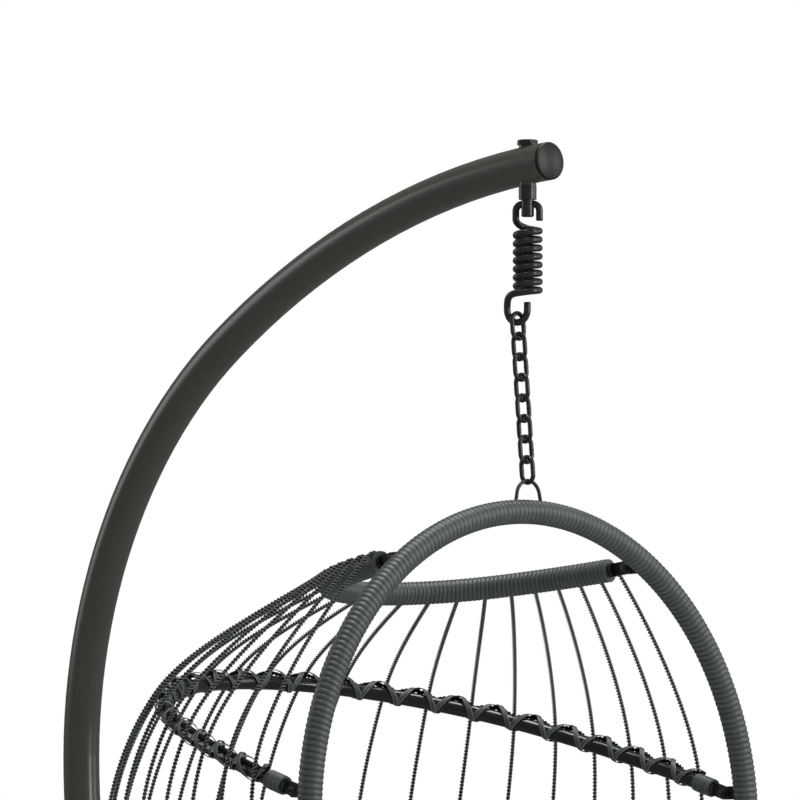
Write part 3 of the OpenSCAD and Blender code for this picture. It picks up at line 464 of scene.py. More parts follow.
def carried(points, start):
    """Directions along a line of points, and directions across it that turn as little as possible."""
    along = np.gradient(np.asarray(points, float), axis=0)
    along /= np.linalg.norm(along, axis=1)[:, None]
    out = np.empty_like(along)
    last = np.asarray(start, float)
    for i, direction in enumerate(along):
        last = last - direction * (last @ direction)
        last /= np.linalg.norm(last)
        out[i] = last
    return along, out


END_SHARES = (0.35, 0.75, 0.93)


def swept(name, lines, outline, material, ends=0.0):
    """Solid strips or wires along lines. A line is (points, directions out of it), in metres; the
    outline lists (across, out) offsets. The ends are rounded over a length, in rings that have shares
    of the outline's size."""
    verts, faces, edge, distances = [], [], [], []
    outline = np.asarray(outline, float)
    wide = np.abs(outline[:, 0]).max()
    for points, out in lines:
        points = np.asarray(points, float)
        along, _ = carried(points, out[0])
        out = np.asarray(out, float)
        out = out - along * np.sum(out * along, axis=1)[:, None]
        out /= np.linalg.norm(out, axis=1)[:, None]
        across = np.cross(along, out)
        walked = np.concatenate([[0], np.cumsum(np.linalg.norm(np.diff(points, axis=0), axis=1))])
        rings = [(points[i], across[i], out[i], 1.0, walked[i]) for i in range(len(points))]
        if ends:
            caps = []
            for i, way in ((0, -1), (-1, 1)):
                reach = way * along[i] * ends
                caps.append([(points[i] + reach * math.sqrt(1 - s * s), across[i], out[i], s, walked[i])
                             for s in END_SHARES])
            rings = caps[0] + rings + caps[1][::-1]
        first, count = len(verts), len(outline)
        for centre, side, up, share, distance in rings:
            for a, b in outline:
                verts.append(centre + (side * a + up * b) * share)
                edge.append(abs(a) / wide)
                distances.append(distance)
        for i in range(len(rings) - 1):
            for k in range(count):
                a, b = first + i * count + k, first + i * count + (k + 1) % count
                faces.append((a, b, b + count, a + count))
        faces.append(tuple(first + k for k in reversed(range(count))))
        faces.append(tuple(first + (len(rings) - 1) * count + k for k in range(count)))
    mesh = bpy.data.meshes.new(name)
    mesh.from_pydata([tuple(v) for v in verts], [], faces)
    for title, values in (("edge", edge), ("along", distances)):
        mesh.attributes.new(title, "FLOAT", "POINT").data.foreach_set("value", values)
    return new_piece(name, mesh, material)


def round_outline(d, sides):
    """The outline of a round wire."""
    return [(d / 2 * math.cos(TAU * k / sides), d / 2 * math.sin(TAU * k / sides)) for k in range(sides)]


def placed(points, matrix):
    """Points through a matrix, as an array."""
    return np.array([matrix @ Vector(p) for p in points])


def bent(start, lead, end, arrive, t):
    """The point at a share t of a smooth bend from start to end, with its directions at both."""
    return ((2 * t ** 3 - 3 * t ** 2 + 1) * start + (t ** 3 - 2 * t ** 2 + t) * lead
            + (3 * t ** 2 - 2 * t ** 3) * end + (t ** 3 - t ** 2) * arrive)


# ---------------------------------------------------------------- the lines of the basket

def hoop_line():
    """The hoop's centreline, in the basket's plane y = 0, as a closed line with its top at z = 0."""
    low_half_a = math.pi / 2 - HOOP_SIDE_A
    side_x = HOOP_W - HOOP_SIDE_R

    def arc(cx, cz, r, start, end):
        count = round(abs(end - start) * r / LINE_STEP)
        return [(cx + r * math.cos(a), 0.0, cz + r * math.sin(a))
                for a in np.linspace(start, end, count, endpoint=False)]

    return (arc(0, -HOOP_W, HOOP_W, math.pi / 2, 0)
            + arc(side_x, -HOOP_W, HOOP_SIDE_R, 0, -HOOP_SIDE_A)
            + arc(0, -HOOP_W - HOOP_LOW_H, HOOP_LOW_R, -HOOP_SIDE_A, -HOOP_SIDE_A - 2 * low_half_a)
            + arc(-side_x, -HOOP_W, HOOP_SIDE_R, math.pi + HOOP_SIDE_A, math.pi)
            + arc(0, -HOOP_W, HOOP_W, math.pi, math.pi / 2))


def hoop_half(drop):
    """Half the width of the hoop's centreline at a depth below its top."""
    below = drop - HOOP_W
    if below < 0:
        return math.sqrt(HOOP_W ** 2 - below ** 2)
    if below < HOOP_SIDE_R * math.sin(HOOP_SIDE_A):
        return HOOP_W - HOOP_SIDE_R + math.sqrt(HOOP_SIDE_R ** 2 - below ** 2)
    return math.sqrt(HOOP_LOW_R ** 2 - (below - HOOP_LOW_H) ** 2)


class Bar:
    """A bar's centreline: a rear bend and two side bends, in a plane tilted about its pivots."""

    def __init__(self, i):
        self.drop, self.tilt = PIVOT_DROPS[i], math.radians(BAR_TILTS[i])
        self.rear_r, self.join = BAR_REAR_RS[i], math.radians(BAR_JOIN_AS[i])
        self.rear_y = BAR_REACHES[i] - self.rear_r
        half = hoop_half(self.drop) - BAR_INSET
        along = np.array([math.cos(self.join), math.sin(self.join)])
        to_end = np.array([half, -self.rear_y])
        grow = (to_end @ to_end - self.rear_r ** 2) / (2 * (self.rear_r - to_end @ along))
        self.side_r = self.rear_r + grow
        self.side_c = np.array([0, self.rear_y]) - grow * along
        self.start_a = math.asin(-self.side_c[1] / self.side_r)
        self.side_len = self.side_r * (self.join - self.start_a)
        self.length = 2 * self.side_len + self.rear_r * (math.pi - 2 * self.join)

    def at(self, s):
        """Place on the centreline at a length from the right pivot, and the angle it faces."""
        if s > self.length / 2:
            x, y, a = self.at(self.length - s)
            return -x, y, math.pi - a
        if s < self.side_len:
            a = self.start_a + s / self.side_r
            return self.side_c[0] + self.side_r * math.cos(a), self.side_c[1] + self.side_r * math.sin(a), a
        a = self.join + (s - self.side_len) / self.rear_r
        return self.rear_r * math.cos(a), self.rear_y + self.rear_r * math.sin(a), a

    def beside(self, s, r=0.0, side=0.0):
        """Point beside the bar in the basket: out by r, turned up by side radians."""
        x, y, a = self.at(s)
        flat = r * math.cos(side)
        x, y, z = x + flat * math.cos(a), y + flat * math.sin(a), r * math.sin(side)
        c, t = math.cos(self.tilt), math.sin(self.tilt)
        return np.array([x, PIVOT_Y + y * c - z * t, y * t + z * c - self.drop])

    def line(self, start):
        """Points of the centreline between the same length from each pivot."""
        count = round((self.length - 2 * start) / LINE_STEP)
        return [self.beside(s) for s in np.linspace(start, self.length - start, count)]


BARS = [Bar(i) for i in range(len(PIVOT_DROPS))]


def cord_line(i):
    """A cord's centreline from the top bar over the other bars to the bottom of the hoop."""
    share = i / (CORD_COUNT - 1)
    knots, slopes = [], []
    for bar, first, side, off in zip(BARS, CORD_FIRSTS, CORD_SIDES, CORD_OFFS):
        knots.append(bar.beside(first + share * (bar.length - 2 * first), off, math.radians(side)))
    top_s = CORD_FIRSTS[TOP] + share * (BARS[TOP].length - 2 * CORD_FIRSTS[TOP])
    points = []
    for k in range(CORD_ROUND_POINTS):
        side = math.radians(CORD_SIDES[TOP] + CORD_ROUND_A - CORD_ROUND_STEP_A * k)
        points.append(BARS[TOP].beside(top_s, CORD_OFFS[TOP] - CORD_SUNK + k, side))
    leave = knots[0] - points[-1]
    leave /= np.linalg.norm(leave)
    tuck = math.radians(CORD_END_A)
    foot_a = math.radians(-90 + CORD_SPREAD * (1 - 2 * share))
    c, s = math.cos(foot_a), math.sin(foot_a)
    arrive = np.array([c * math.sin(tuck), math.cos(tuck), s * math.sin(tuck)])
    foot = np.array([HOOP_LOW_R * c, 0, -HOOP_W - HOOP_LOW_H + HOOP_LOW_R * s])
    knots.append(foot + (WRAP_D / 2 - CORD_END_SUNK) * arrive)
    for k, knot in enumerate(knots):
        if k == 0:
            slopes.append(leave * CORD_LEAVE)
        elif k == len(knots) - 1:
            slopes.append(-arrive)
        else:
            back, on = knot - knots[k - 1], knots[k + 1] - knot
            back_len, on_len = np.linalg.norm(back), np.linalg.norm(on)
            slope = back * on_len / back_len + on * back_len / on_len
            slopes.append(slope / np.linalg.norm(slope))
    for k in range(len(knots) - 1):
        span = np.linalg.norm(knots[k + 1] - knots[k])
        for t in np.linspace(0, 1, round(span / LINE_STEP), endpoint=False):
            points.append(bent(knots[k], span * slopes[k], knots[k + 1], span * slopes[k + 1], t))
    return points + [knots[-1]]


# ---------------------------------------------------------------- wraps, cords and links grown by node trees

def new_tree(name, sizes):
    """A Geometry Nodes tree with named inputs and their default sizes."""
    tree = bpy.data.node_groups.new(name, "GeometryNodeTree")
    tree.interface.new_socket("Geometry", in_out="INPUT", socket_type="NodeSocketGeometry")
    tree.interface.new_socket("Geometry", in_out="OUTPUT", socket_type="NodeSocketGeometry")
    for title, value in sizes.items():
        kind = "NodeSocketInt" if isinstance(value, int) else "NodeSocketFloat"
        tree.interface.new_socket(title, in_out="INPUT", socket_type=kind).default_value = value
    graph = Graph(tree)
    given = graph.node("NodeGroupInput")
    inputs = {socket.name: Num(graph, socket) for socket in given.outputs if socket.name}
    return graph, inputs


def end_tree(graph, mesh):
    """Closes a tree: smooth faces, instances made real, and the material that its user gives."""
    graph.tree.interface.new_socket("Material", in_out="INPUT", socket_type="NodeSocketMaterial")
    given = graph.node("NodeGroupInput").outputs["Material"]
    smooth = graph.node("GeometryNodeSetShadeSmooth", {0: mesh})
    real = graph.node("GeometryNodeRealizeInstances", {0: smooth.outputs[0]})
    dressed = graph.node("GeometryNodeSetMaterial", {"Geometry": real.outputs[0], "Material": given})
    graph.node("NodeGroupOutput", {0: dressed.outputs[0]})
    return graph.tree


def stored(graph, geometry, name, value):
    """A geometry whose points keep a value under a name."""
    made = graph.node("GeometryNodeStoreNamedAttribute", {"Geometry": geometry, "Name": name,
                                                          "Value": value},
                      data_type="FLOAT", domain="POINT")
    return made.outputs[0]


def kept(graph, name):
    """The value that the points keep under a name."""
    made = graph.node("GeometryNodeInputNamedAttribute", {"Name": name}, data_type="FLOAT")
    return Num(graph, made.outputs[0])


def on_line(graph, measure):
    """How far along its line a point lies, as its Factor or its Length."""
    return Num(graph, graph.node("GeometryNodeSplineParameter").outputs[measure])


def even_line(graph, edges, stride):
    """Mesh edges as a line with a point at every stride, which keeps the length up to it as along."""
    path = graph.node("GeometryNodeMeshToCurve", {"Mesh": edges}).outputs[0]
    even = graph.node("GeometryNodeResampleCurve", {"Curve": path, "Length": stride}, mode="LENGTH")
    return stored(graph, even.outputs[0], "along", on_line(graph, "Length"))


def circle(graph, sides, radius):
    """The outline of a round wire, strand or ply."""
    made = graph.node("GeometryNodeCurvePrimitiveCircle", {"Resolution": sides, "Radius": radius},
                      mode="RADIUS")
    return made.outputs[0]


def drawn_along(graph, line, outline):
    """A solid with an outline along a line."""
    made = graph.node("GeometryNodeCurveToMesh", {"Curve": line, "Profile Curve": outline,
                                                  "Fill Caps": True})
    return made.outputs[0]


def pushed_out(graph, mesh, distance):
    """A mesh with each point moved out by a distance."""
    normal = graph.node("GeometryNodeInputNormal").outputs[0]
    push = graph.node("ShaderNodeVectorMath", {0: normal, "Scale": distance}, operation="SCALE")
    made = graph.node("GeometryNodeSetPosition", {"Geometry": mesh, "Offset": push.outputs[0]})
    return made.outputs[0]


def wrap_tree():
    """Winds flat strand round a path, turn against turn."""
    graph, size = new_tree("wound strand", {"Diameter": 0.04, "Pitch": 0.0093, "Ridge": 0.0017, "Sides": 26,
                                            "Seed": 1})
    points_each_turn, fullness, unevenness = 6.0, 0.8, 0.06
    line = even_line(graph, size["Geometry"], size["Pitch"] / points_each_turn)
    ring = circle(graph, size["Sides"], size["Diameter"] / 2.0 - size["Ridge"])
    tube = drawn_along(graph, line, stored(graph, ring, "around", on_line(graph, "Factor")))
    turn = kept(graph, "along") / size["Pitch"] + kept(graph, "around")
    lift = (turn.frac() * math.pi).sin() ** fullness
    chance = graph.node("FunctionNodeRandomValue", {"ID": turn.floor(), "Seed": size["Seed"]},
                        data_type="FLOAT")
    each = Num(graph, [s for s in chance.outputs if s.enabled][0])
    rise = lift * size["Ridge"] * (each * unevenness + (1 - unevenness))
    marked = stored(graph, stored(graph, tube, "lift", lift), "strand", each)
    return end_tree(graph, pushed_out(graph, marked, rise))


def cord_tree():
    """Twists two plies round each other along each path."""
    graph, size = new_tree("twisted cord", {"Diameter": 0.0078, "Lay": 0.0122, "Sides": 7})
    points_each_lay, ply_share = 8.0, 0.28
    line = even_line(graph, size["Geometry"], size["Lay"] / points_each_lay)
    tilt = on_line(graph, "Length") * TAU / size["Lay"]
    twisted_line = graph.node("GeometryNodeSetCurveTilt", {"Curve": line, "Tilt": tilt}).outputs[0]
    ply_r = size["Diameter"] * ply_share
    inner = (on_line(graph, "Factor") * math.pi).sin() ** 2.0
    ring = stored(graph, circle(graph, size["Sides"], ply_r), "inner", inner)
    apart = size["Diameter"] / 2.0 - ply_r
    plies = graph.node("GeometryNodeJoinGeometry")
    for side in (-1.0, 1.0):
        moved = graph.node("GeometryNodeTransform", {
            "Geometry": ring, "Translation": graph.combined(apart * side, 0.0, 0.0),
            "Rotation": (0.0, 0.0, 0.0 if side > 0 else math.pi)})
        graph.tree.links.new(moved.outputs[0], plies.inputs[0])
    return end_tree(graph, drawn_along(graph, twisted_line, plies.outputs[0]))


def link_tree():
    """A chain link of round wire, hanging down from the origin in the plane y = 0, with its weld."""
    graph, size = new_tree("chain link", {"Wire": LINK_WIRE_D * MM, "Inner length": LINK_IN_LEN * MM,
                                          "Inner width": LINK_IN_W * MM})
    corner_points, line_points, wire_sides = 9, 56, 14
    nearly_half = 0.4999
    weld_reach, weld_height = 0.22, 0.05
    wide, long = size["Inner width"] + size["Wire"], size["Inner length"] + size["Wire"]
    straight = graph.node("GeometryNodeCurvePrimitiveQuadrilateral", {"Width": wide, "Height": long},
                          mode="RECTANGLE").outputs[0]
    oval = graph.node("GeometryNodeFilletCurve", {"Curve": straight, "Radius": wide * nearly_half,
                                                  "Count": corner_points, "Limit Radius": True},
                      mode="POLY").outputs[0]
    even = graph.node("GeometryNodeResampleCurve", {"Curve": oval, "Count": line_points},
                      mode="COUNT").outputs[0]
    wire = drawn_along(graph, even, circle(graph, wire_sides, size["Wire"] / 2.0))
    x, y, _ = graph.parts(graph.node("GeometryNodeInputPosition").outputs[0])
    weld = (1.0 - (y / (size["Wire"] * weld_reach)).abs()).clamped()
    on_leg = graph.math("GREATER_THAN", x, 0.0)
    welded = pushed_out(graph, wire, weld * on_leg * size["Wire"] * weld_height)
    return end_tree(graph, graph.node("GeometryNodeTransform", {
        "Geometry": welded, "Translation": graph.combined(0.0, 0.0, (long - size["Wire"]) * -0.5),
        "Rotation": (math.pi / 2, 0.0, 0.0)}).outputs[0])


def grown(name, tree, paths, material, closed=False, **sizes):
    """Runs a tree on lines of points in metres and returns the result as a plain mesh piece. A tree that
    has its own line, such as a link's, gets one point."""
    verts, edges = [], []
    for path in paths:
        first = len(verts)
        verts += [tuple(p) for p in path]
        edges += [(first + k, first + k + 1) for k in range(len(path) - 1)]
        if closed:
            edges.append((first + len(path) - 1, first))
    mesh = bpy.data.meshes.new(name + " path")
    mesh.from_pydata(verts or [(0, 0, 0)], edges, [])
    carrier = bpy.data.objects.new(name + " path", mesh)
    bpy.context.scene.collection.objects.link(carrier)
    modifier = carrier.modifiers.new("shape", "NODES")
    modifier.node_group = tree
    for item in tree.interface.items_tree:
        if item.in_out != "INPUT" or item.socket_type == "NodeSocketGeometry":
            continue
        if item.name == "Material":
            modifier[item.identifier] = material
        elif item.name.replace(" ", "_") in sizes:
            modifier[item.identifier] = sizes[item.name.replace(" ", "_")]
    bpy.context.view_layer.update()
    evaluated = carrier.evaluated_get(bpy.context.evaluated_depsgraph_get())
    result = bpy.data.meshes.new_from_object(evaluated)
    carrier.modifiers.remove(modifier)
    bpy.data.objects.remove(carrier)
    return new_piece(name, result)


WRAP_TREE, CORD_TREE, LINK_TREE = wrap_tree(), cord_tree(), link_tree()


def path_length(points):
    """The length of an open line of points."""
    return float(np.sum(np.linalg.norm(np.diff(np.asarray(points), axis=0), axis=1)))


def make_wraps():
    """The wicker on the hoop, on the top bar and at the middle bar's ends."""
    hoop = placed(hoop_line(), IN_BASKET)
    whole = path_length(hoop) + float(np.linalg.norm(hoop[0] - hoop[-1]))
    pitch = whole / round(whole / (WRAP_PITCH * MM))
    settle(grown("hoop_wicker", WRAP_TREE, [hoop], WICKER, closed=True, Diameter=WRAP_D * MM, Pitch=pitch),
           "basket", "wicker", "hoop_wrap")
    top = placed(BARS[TOP].line(TOP_WRAP_START), IN_BASKET)
    settle(grown("top_bar_wicker", WRAP_TREE, [top], WICKER, Diameter=TOP_WRAP_D * MM,
                 Pitch=TOP_WRAP_PITCH * MM, Ridge=TOP_WRAP_RIDGE * MM, Seed=4),
           "basket", "wicker", "top_bar_wrap")
    bar = BARS[MIDDLE]
    reach = np.linspace(COLLAR_START, COLLAR_START + COLLAR_LEN, COLLAR_POINTS)
    collars = [placed([bar.beside(s) for s in side], IN_BASKET) for side in (reach, bar.length - reach)]
    settle(grown("middle_bar_collar_wicker", WRAP_TREE, collars, WICKER, Diameter=COLLAR_WRAP_D * MM,
                 Pitch=COLLAR_PITCH * MM, Ridge=COLLAR_RIDGE * MM, Seed=7),
           "basket", "wicker", "middle_bar_collars")


def make_cords():
    """The twisted cords, in the groups that the frame has."""
    each = CORD_COUNT // CORD_GROUPS
    for group in range(CORD_GROUPS):
        lines = [placed(cord_line(i), IN_BASKET) for i in range(group * each, (group + 1) * each)]
        settle(grown(f"twisted_cords_{group + 1}", CORD_TREE, lines, CORD_RATTAN, Diameter=CORD_D * MM),
               "basket", "cord", f"cords_{group + 1}")


def make_lashings():
    """Two opposite spirals of flat strip that cross low on the middle bar's inner side and stand out over
    its cords on the upper outer side, and the dark cord between them and the bar, which paints the shade of the
    strips' shaded backs."""
    bar = BARS[MIDDLE]
    whole = bar.length - 2 * BIND_FIRST
    marks = range(BIND_TURNS * BIND_POINTS + 1)
    flat = [(STRIP_W / 2 * MM * math.cos(a), STRIP_T / 2 * MM * math.sin(a))
            for a in np.linspace(0, TAU, STRIP_SIDES, endpoint=False)]
    turned = IN_BASKET.to_3x3()
    lines = []
    for way, over in ((1, 0.0), (-1, STRIP_T)):
        points, out = [], []
        for k in marks:
            around = way * TAU * k / BIND_POINTS
            stride = k / BIND_POINTS + BIND_SLIP * math.sin(abs(around)) / TAU
            s = BIND_FIRST + whole * stride / BIND_TURNS
            angle = math.radians(BIND_SIDE) + around
            bulge = max(0.0, math.cos(around)) ** BULGE_SHARPNESS * BULGE_H
            r = BAR_D / 2 + STRIP_T / 2 + BIND_GAP + over + bulge
            points.append(bar.beside(s, r, angle))
            out.append(turned @ Vector(bar.beside(s, r + 1, angle) - points[-1]))
        lines.append((placed(points, IN_BASKET), out))
    settle(swept("middle_bar_lashing", lines, flat, STRIP_RATTAN), "basket", "binding", "middle_bar_binding")
    lining = []
    for k in marks:
        s = BIND_FIRST + whole * k / BIND_POINTS / BIND_TURNS
        rise = LINING_RISE * abs(math.cos(math.pi * k / BIND_POINTS)) ** LINING_FULLNESS
        lining.append(bar.beside(s, BAR_D / 2 - LINING_SUNK + rise, math.radians(BIND_SIDE)))
    settle(grown("middle_bar_lining", CORD_TREE, [placed(lining, IN_BASKET)], LINING_PAINTED_SHADE,
                 Diameter=LINING_D * MM, Lay=LINING_LAY * MM), "basket", "binding")


# ---------------------------------------------------------------- suspension

def make_spring():
    """The suspension spring with both hooks, one wire."""
    crown = JOINTS["spring_sway"]["pos_m"][2] / MM
    prong_points, bend_points, lead_points, reach_points, bowl_points = 4, 9, 22, 18, 22

    def arc(cx, cz, rx, rz, start, end, count):
        return [(cx + rx * math.cos(a), 0, cz + rz * math.sin(a))
                for a in np.radians(np.linspace(start, end, count))]

    bend_z = crown - TOP_BEND_R
    line = [(TOP_HOOK_R, 0, z) for z in np.linspace(crown - TOP_PRONG, bend_z, prong_points, endpoint=False)]
    line += arc(TOP_HOOK_R - TOP_BEND_R, bend_z, TOP_BEND_R, TOP_BEND_R, 0, 90, bend_points)
    line += arc(TOP_BEND_R - TOP_HOOK_R, bend_z, TOP_BEND_R, TOP_BEND_R, 90, 180, bend_points)
    coil_top = crown - TOP_LEG - COIL_IN - COIL_PITCH / 2
    for t in np.linspace(0, 1, lead_points):
        a, r = math.pi * (1 - t * t), TOP_HOOK_R + (COIL_R - TOP_HOOK_R) * t
        line.append((r * math.cos(a), r * math.sin(a),
                     crown - TOP_LEG - COIL_IN * math.sin(math.pi / 2 * t) - COIL_PITCH / 2 * t * t))
    for k in range(1, math.ceil(COIL_TURNS * COIL_POINTS) + 1):
        t = k / COIL_POINTS
        line.append((COIL_R * math.cos(TAU * t), -COIL_R * math.sin(TAU * t), coil_top - COIL_PITCH * t))
    slope = COIL_PITCH / (TAU * COIL_R)
    coil_end = coil_top - COIL_TURNS * COIL_PITCH
    start = np.array([-SPRING_WIRE_D, -COIL_R, coil_end - slope * SPRING_WIRE_D])
    bowl_z = start[2] - HOOK_DROP
    end = np.array([-HOOK_SIDE - HOOK_W, 0, bowl_z])
    lead, drop = np.array([-HOOK_SWING, 0, -HOOK_SWING * slope]), np.array([0, 0, -HOOK_SWING])
    line += [bent(start, lead, end, drop, t) for t in np.linspace(0, 1, reach_points, endpoint=False)]
    line += arc(-HOOK_SIDE, bowl_z, HOOK_W, HOOK_H, 180, 360, bowl_points)
    line += [(HOOK_W - HOOK_SIDE, 0, bowl_z + HOOK_PRONG * t) for t in (0.5, 1.0)]
    turn = (Matrix.Translation(AXIS) @ Matrix.Rotation(math.radians(HOOK_DIR), 4, "Z") @ Matrix.Scale(MM, 4))
    points = placed(line, turn)
    _, out = carried(points, turn.to_3x3() @ Vector((0, 1, 0)))
    spring = swept("spring_wire", [(points, out)], round_outline(SPRING_WIRE_D * MM, SPRING_SIDES),
                   BLACK_STEEL, SPRING_END * MM)
    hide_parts("suspension_spring", "spring_hook")
    top = AXIS + Vector((0, 0, coil_top * MM))
    low = AXIS + Vector((0, 0, coil_end * MM))
    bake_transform(spring)


def make_chain():
    """The chain's links, each on its own body, every other one turned a quarter."""
    count = sum(name.startswith("chain_link_") for name in frame["nodes"])
    tops = [Vector(JOINTS[f"link_{i + 1}_swing"]["pos_m"]) for i in range(count)]
    up = (tops[0] - tops[-1]).normalized()
    tip_back = math.asin(-up.y)
    tip_right = math.asin(up.x / math.cos(tip_back))
    stance = Matrix.Rotation(tip_right, 4, "Y") @ Matrix.Rotation(tip_back, 4, "X")
    for i, top in enumerate(tops):
        link = grown(f"chain_link_wire_{i + 1}", LINK_TREE, [], BLACK_STEEL)
        quarter = Matrix.Rotation(math.pi / 2 if i % 2 else 0.0, 4, "Z")
        link.data.transform(Matrix.Translation(top) @ stance @ quarter)
        settle(link, f"link_{i + 1}", "black_steel", f"chain_link_{i + 1}")


# ---------------------------------------------------------------- cushion

# Half the pad's width and length, and how far behind the hoop its middle lies, in millimetres
PAD_W, PAD_L, PAD_Y = 316, 265, 335
PAD_VOXEL = 6
PAD_DRAWN_IN = 9
SEAM_SHARE = 0.985

# Tufts: one in the middle and a ring of them round it
TUFT_COUNT = 6
TUFT_SHARE = 0.52
TUFT_R = 12

# Filling: pressure and stiffness of the cover, for some frames; no point moves further than the cap
PUFF_PRESSURE = 4
PUFF_STIFFNESS = 12
PUFF_QUALITY = 5
PUFF_FRAMES = 18
PUFF_CAP = 24

# Piping: it runs through the mean of the widest points of each sector of the rim, then evened out
PIPING_D = 6.5
PIPING_SIDES = 8
RIM_POINTS = 120
RIM_WIDEST = 6
RIM_EVENINGS = 3

# Button: (distance from its axis, height) from the crown to the back
BUTTON_OUTLINE = ((0.0, 4.0), (4.0, 3.7), (8.0, 2.6), (10.6, 0.6), (11.0, -1.0), (9.0, -2.5), (0.0, -2.5))
BUTTON_SIDES = 20
BUTTON_SEAT_R = 9


def pad_frame():
    """The basket's frame with its origin on the cushion's seam plane, from the solid's widest points."""
    inverse = IN_BASKET.inverted()
    node = frame["nodes"]["seat_cushion"].data
    heights = [(inverse @ v.co).z for v in node.vertices
               if abs((inverse @ v.co).x) > PAD_W * SEAM_SHARE]
    return IN_BASKET @ Matrix.Translation((0, PAD_Y, sum(heights) / len(heights)))


def make_cushion():
    """A tufted seat pad: the frame's solid, drawn in, then blown up by its filling between its tufts."""
    seam = pad_frame()
    inverse = seam.inverted()
    mesh = frame["nodes"]["seat_cushion"].data.copy()
    shape = bmesh.new()
    shape.from_mesh(mesh)
    same_place = 1e-6
    bmesh.ops.remove_doubles(shape, verts=shape.verts, dist=same_place)
    shape.normal_update()
    for vert in shape.verts:
        vert.co -= vert.normal * (PAD_DRAWN_IN * MM)
    shape.to_mesh(mesh)
    shape.free()
    pad = new_piece("seat_cushion_cover", mesh, CUSHION_FABRIC)
    remesh = pad.modifiers.new("remesh", "REMESH")
    remesh.mode = "VOXEL"
    remesh.voxel_size = PAD_VOXEL * MM
    apply_all(pad)
    tufts = [(0.0, 0.0)] + [(TUFT_SHARE * PAD_W * math.cos(a), TUFT_SHARE * PAD_L * math.sin(a))
                            for a in np.radians(np.arange(0, 360, 360 // TUFT_COUNT))]
    pinned = pad.vertex_groups.new(name="tufts")
    rest = np.array([inverse @ v.co for v in pad.data.vertices])
    for vert, local in zip(pad.data.vertices, rest):
        if min(math.hypot(local[0] - x, local[1] - y) for x, y in tufts) < TUFT_R:
            pinned.add([vert.index], 1.0, "REPLACE")
    puff_up(pad)
    smooth = pad.modifiers.new("smooth", "SUBSURF")
    smooth.levels = smooth.render_levels = 1
    apply_all(pad)
    pad.data.shade_smooth()
    settle(pad, "basket", "cushion", "seat_cushion")
    make_piping(pad, seam)
    make_buttons(pad, seam, tufts)


def apply_all(piece):
    """The piece's mesh with its modifiers applied."""
    bpy.context.view_layer.update()
    evaluated = piece.evaluated_get(bpy.context.evaluated_depsgraph_get())
    made = bpy.data.meshes.new_from_object(evaluated)
    piece.modifiers.clear()
    piece.data = made


def puff_up(pad):
    """The pad blown up as cloth under pressure, held at its tufts."""
    before = np.array([v.co for v in pad.data.vertices])
    cloth = pad.modifiers.new("cloth", "CLOTH")
    cloth.settings.use_pressure = True
    cloth.settings.uniform_pressure_force = PUFF_PRESSURE
    cloth.settings.effector_weights.gravity = 0
    cloth.settings.vertex_group_mass = "tufts"
    cloth.settings.tension_stiffness = cloth.settings.compression_stiffness = PUFF_STIFFNESS
    cloth.settings.quality = PUFF_QUALITY
    scene = bpy.context.scene
    for number in range(1, PUFF_FRAMES + 1):
        scene.frame_set(number)
    evaluated = pad.evaluated_get(bpy.context.evaluated_depsgraph_get())
    after = np.array([v.co for v in evaluated.data.vertices])
    pad.modifiers.clear()
    scene.frame_set(1)
    move = after - before
    far = np.linalg.norm(move, axis=1)
    nothing = 1e-9
    move *= np.minimum(1.0, PUFF_CAP * MM / np.maximum(far, nothing))[:, None]
    for vert, place in zip(pad.data.vertices, before + move):
        vert.co = place


def make_piping(pad, seam):
    """A sewn cord round the cushion's widest line."""
    inverse = seam.inverted()
    local = np.array([inverse @ v.co for v in pad.data.vertices])
    angle = np.arctan2(local[:, 1] / PAD_L, local[:, 0] / PAD_W)
    reach = np.hypot(local[:, 0] / PAD_W, local[:, 1] / PAD_L)
    sector = ((angle / TAU + 1) % 1 * RIM_POINTS).astype(int) % RIM_POINTS
    rim = []
    for k in range(RIM_POINTS):
        mine = np.flatnonzero(sector == k)
        widest = mine[np.argsort(reach[mine])[-RIM_WIDEST:]]
        rim.append(local[widest].mean(0))
    rim = np.array(rim)
    for _ in range(RIM_EVENINGS):
        rim = (np.roll(rim, 1, 0) + 2 * rim + np.roll(rim, -1, 0)) / 4
    rim = np.concatenate([rim, rim[:2]])
    points = placed(rim, seam)
    _, out = carried(points, (0, 0, 1))
    piping = swept("seat_cushion_piping", [(points, out)], round_outline(PIPING_D * MM, PIPING_SIDES),
                   PIPING_FABRIC)
    settle(piping, "basket", "cushion")


def make_buttons(pad, seam, tufts):
    """Covered buttons in the tufts, on the upper side."""
    local = np.array([seam.inverted() @ v.co for v in pad.data.vertices])
    rings = BUTTON_OUTLINE[1:-1]
    angles = [TAU * k / BUTTON_SIDES for k in range(BUTTON_SIDES)]
    verts, faces = [], []
    for x, y in tufts:
        near = (np.hypot(local[:, 0] - x, local[:, 1] - y) < BUTTON_SEAT_R) & (local[:, 2] > 0)
        top = local[near][:, 2].max()
        first = len(verts)
        for r, z in rings:
            verts += [seam @ Vector((x + r * math.cos(a), y + r * math.sin(a), top + z)) for a in angles]
        crown, back = len(verts), len(verts) + 1
        verts += [seam @ Vector((x, y, top + BUTTON_OUTLINE[end][1])) for end in (0, -1)]
        last = first + (len(rings) - 1) * BUTTON_SIDES
        for k in range(BUTTON_SIDES):
            on = (k + 1) % BUTTON_SIDES
            faces.append((crown, first + k, first + on))
            for row in range(first, last, BUTTON_SIDES):
                a, b = row + k, row + on
                faces.append((a, a + BUTTON_SIDES, b + BUTTON_SIDES, b))
            faces.append((back, last + on, last + k))
    mesh = bpy.data.meshes.new("buttons")
    mesh.from_pydata([tuple(v) for v in verts], [], faces)
    settle(new_piece("seat_cushion_buttons", mesh, PIPING_FABRIC), "basket", "cushion")


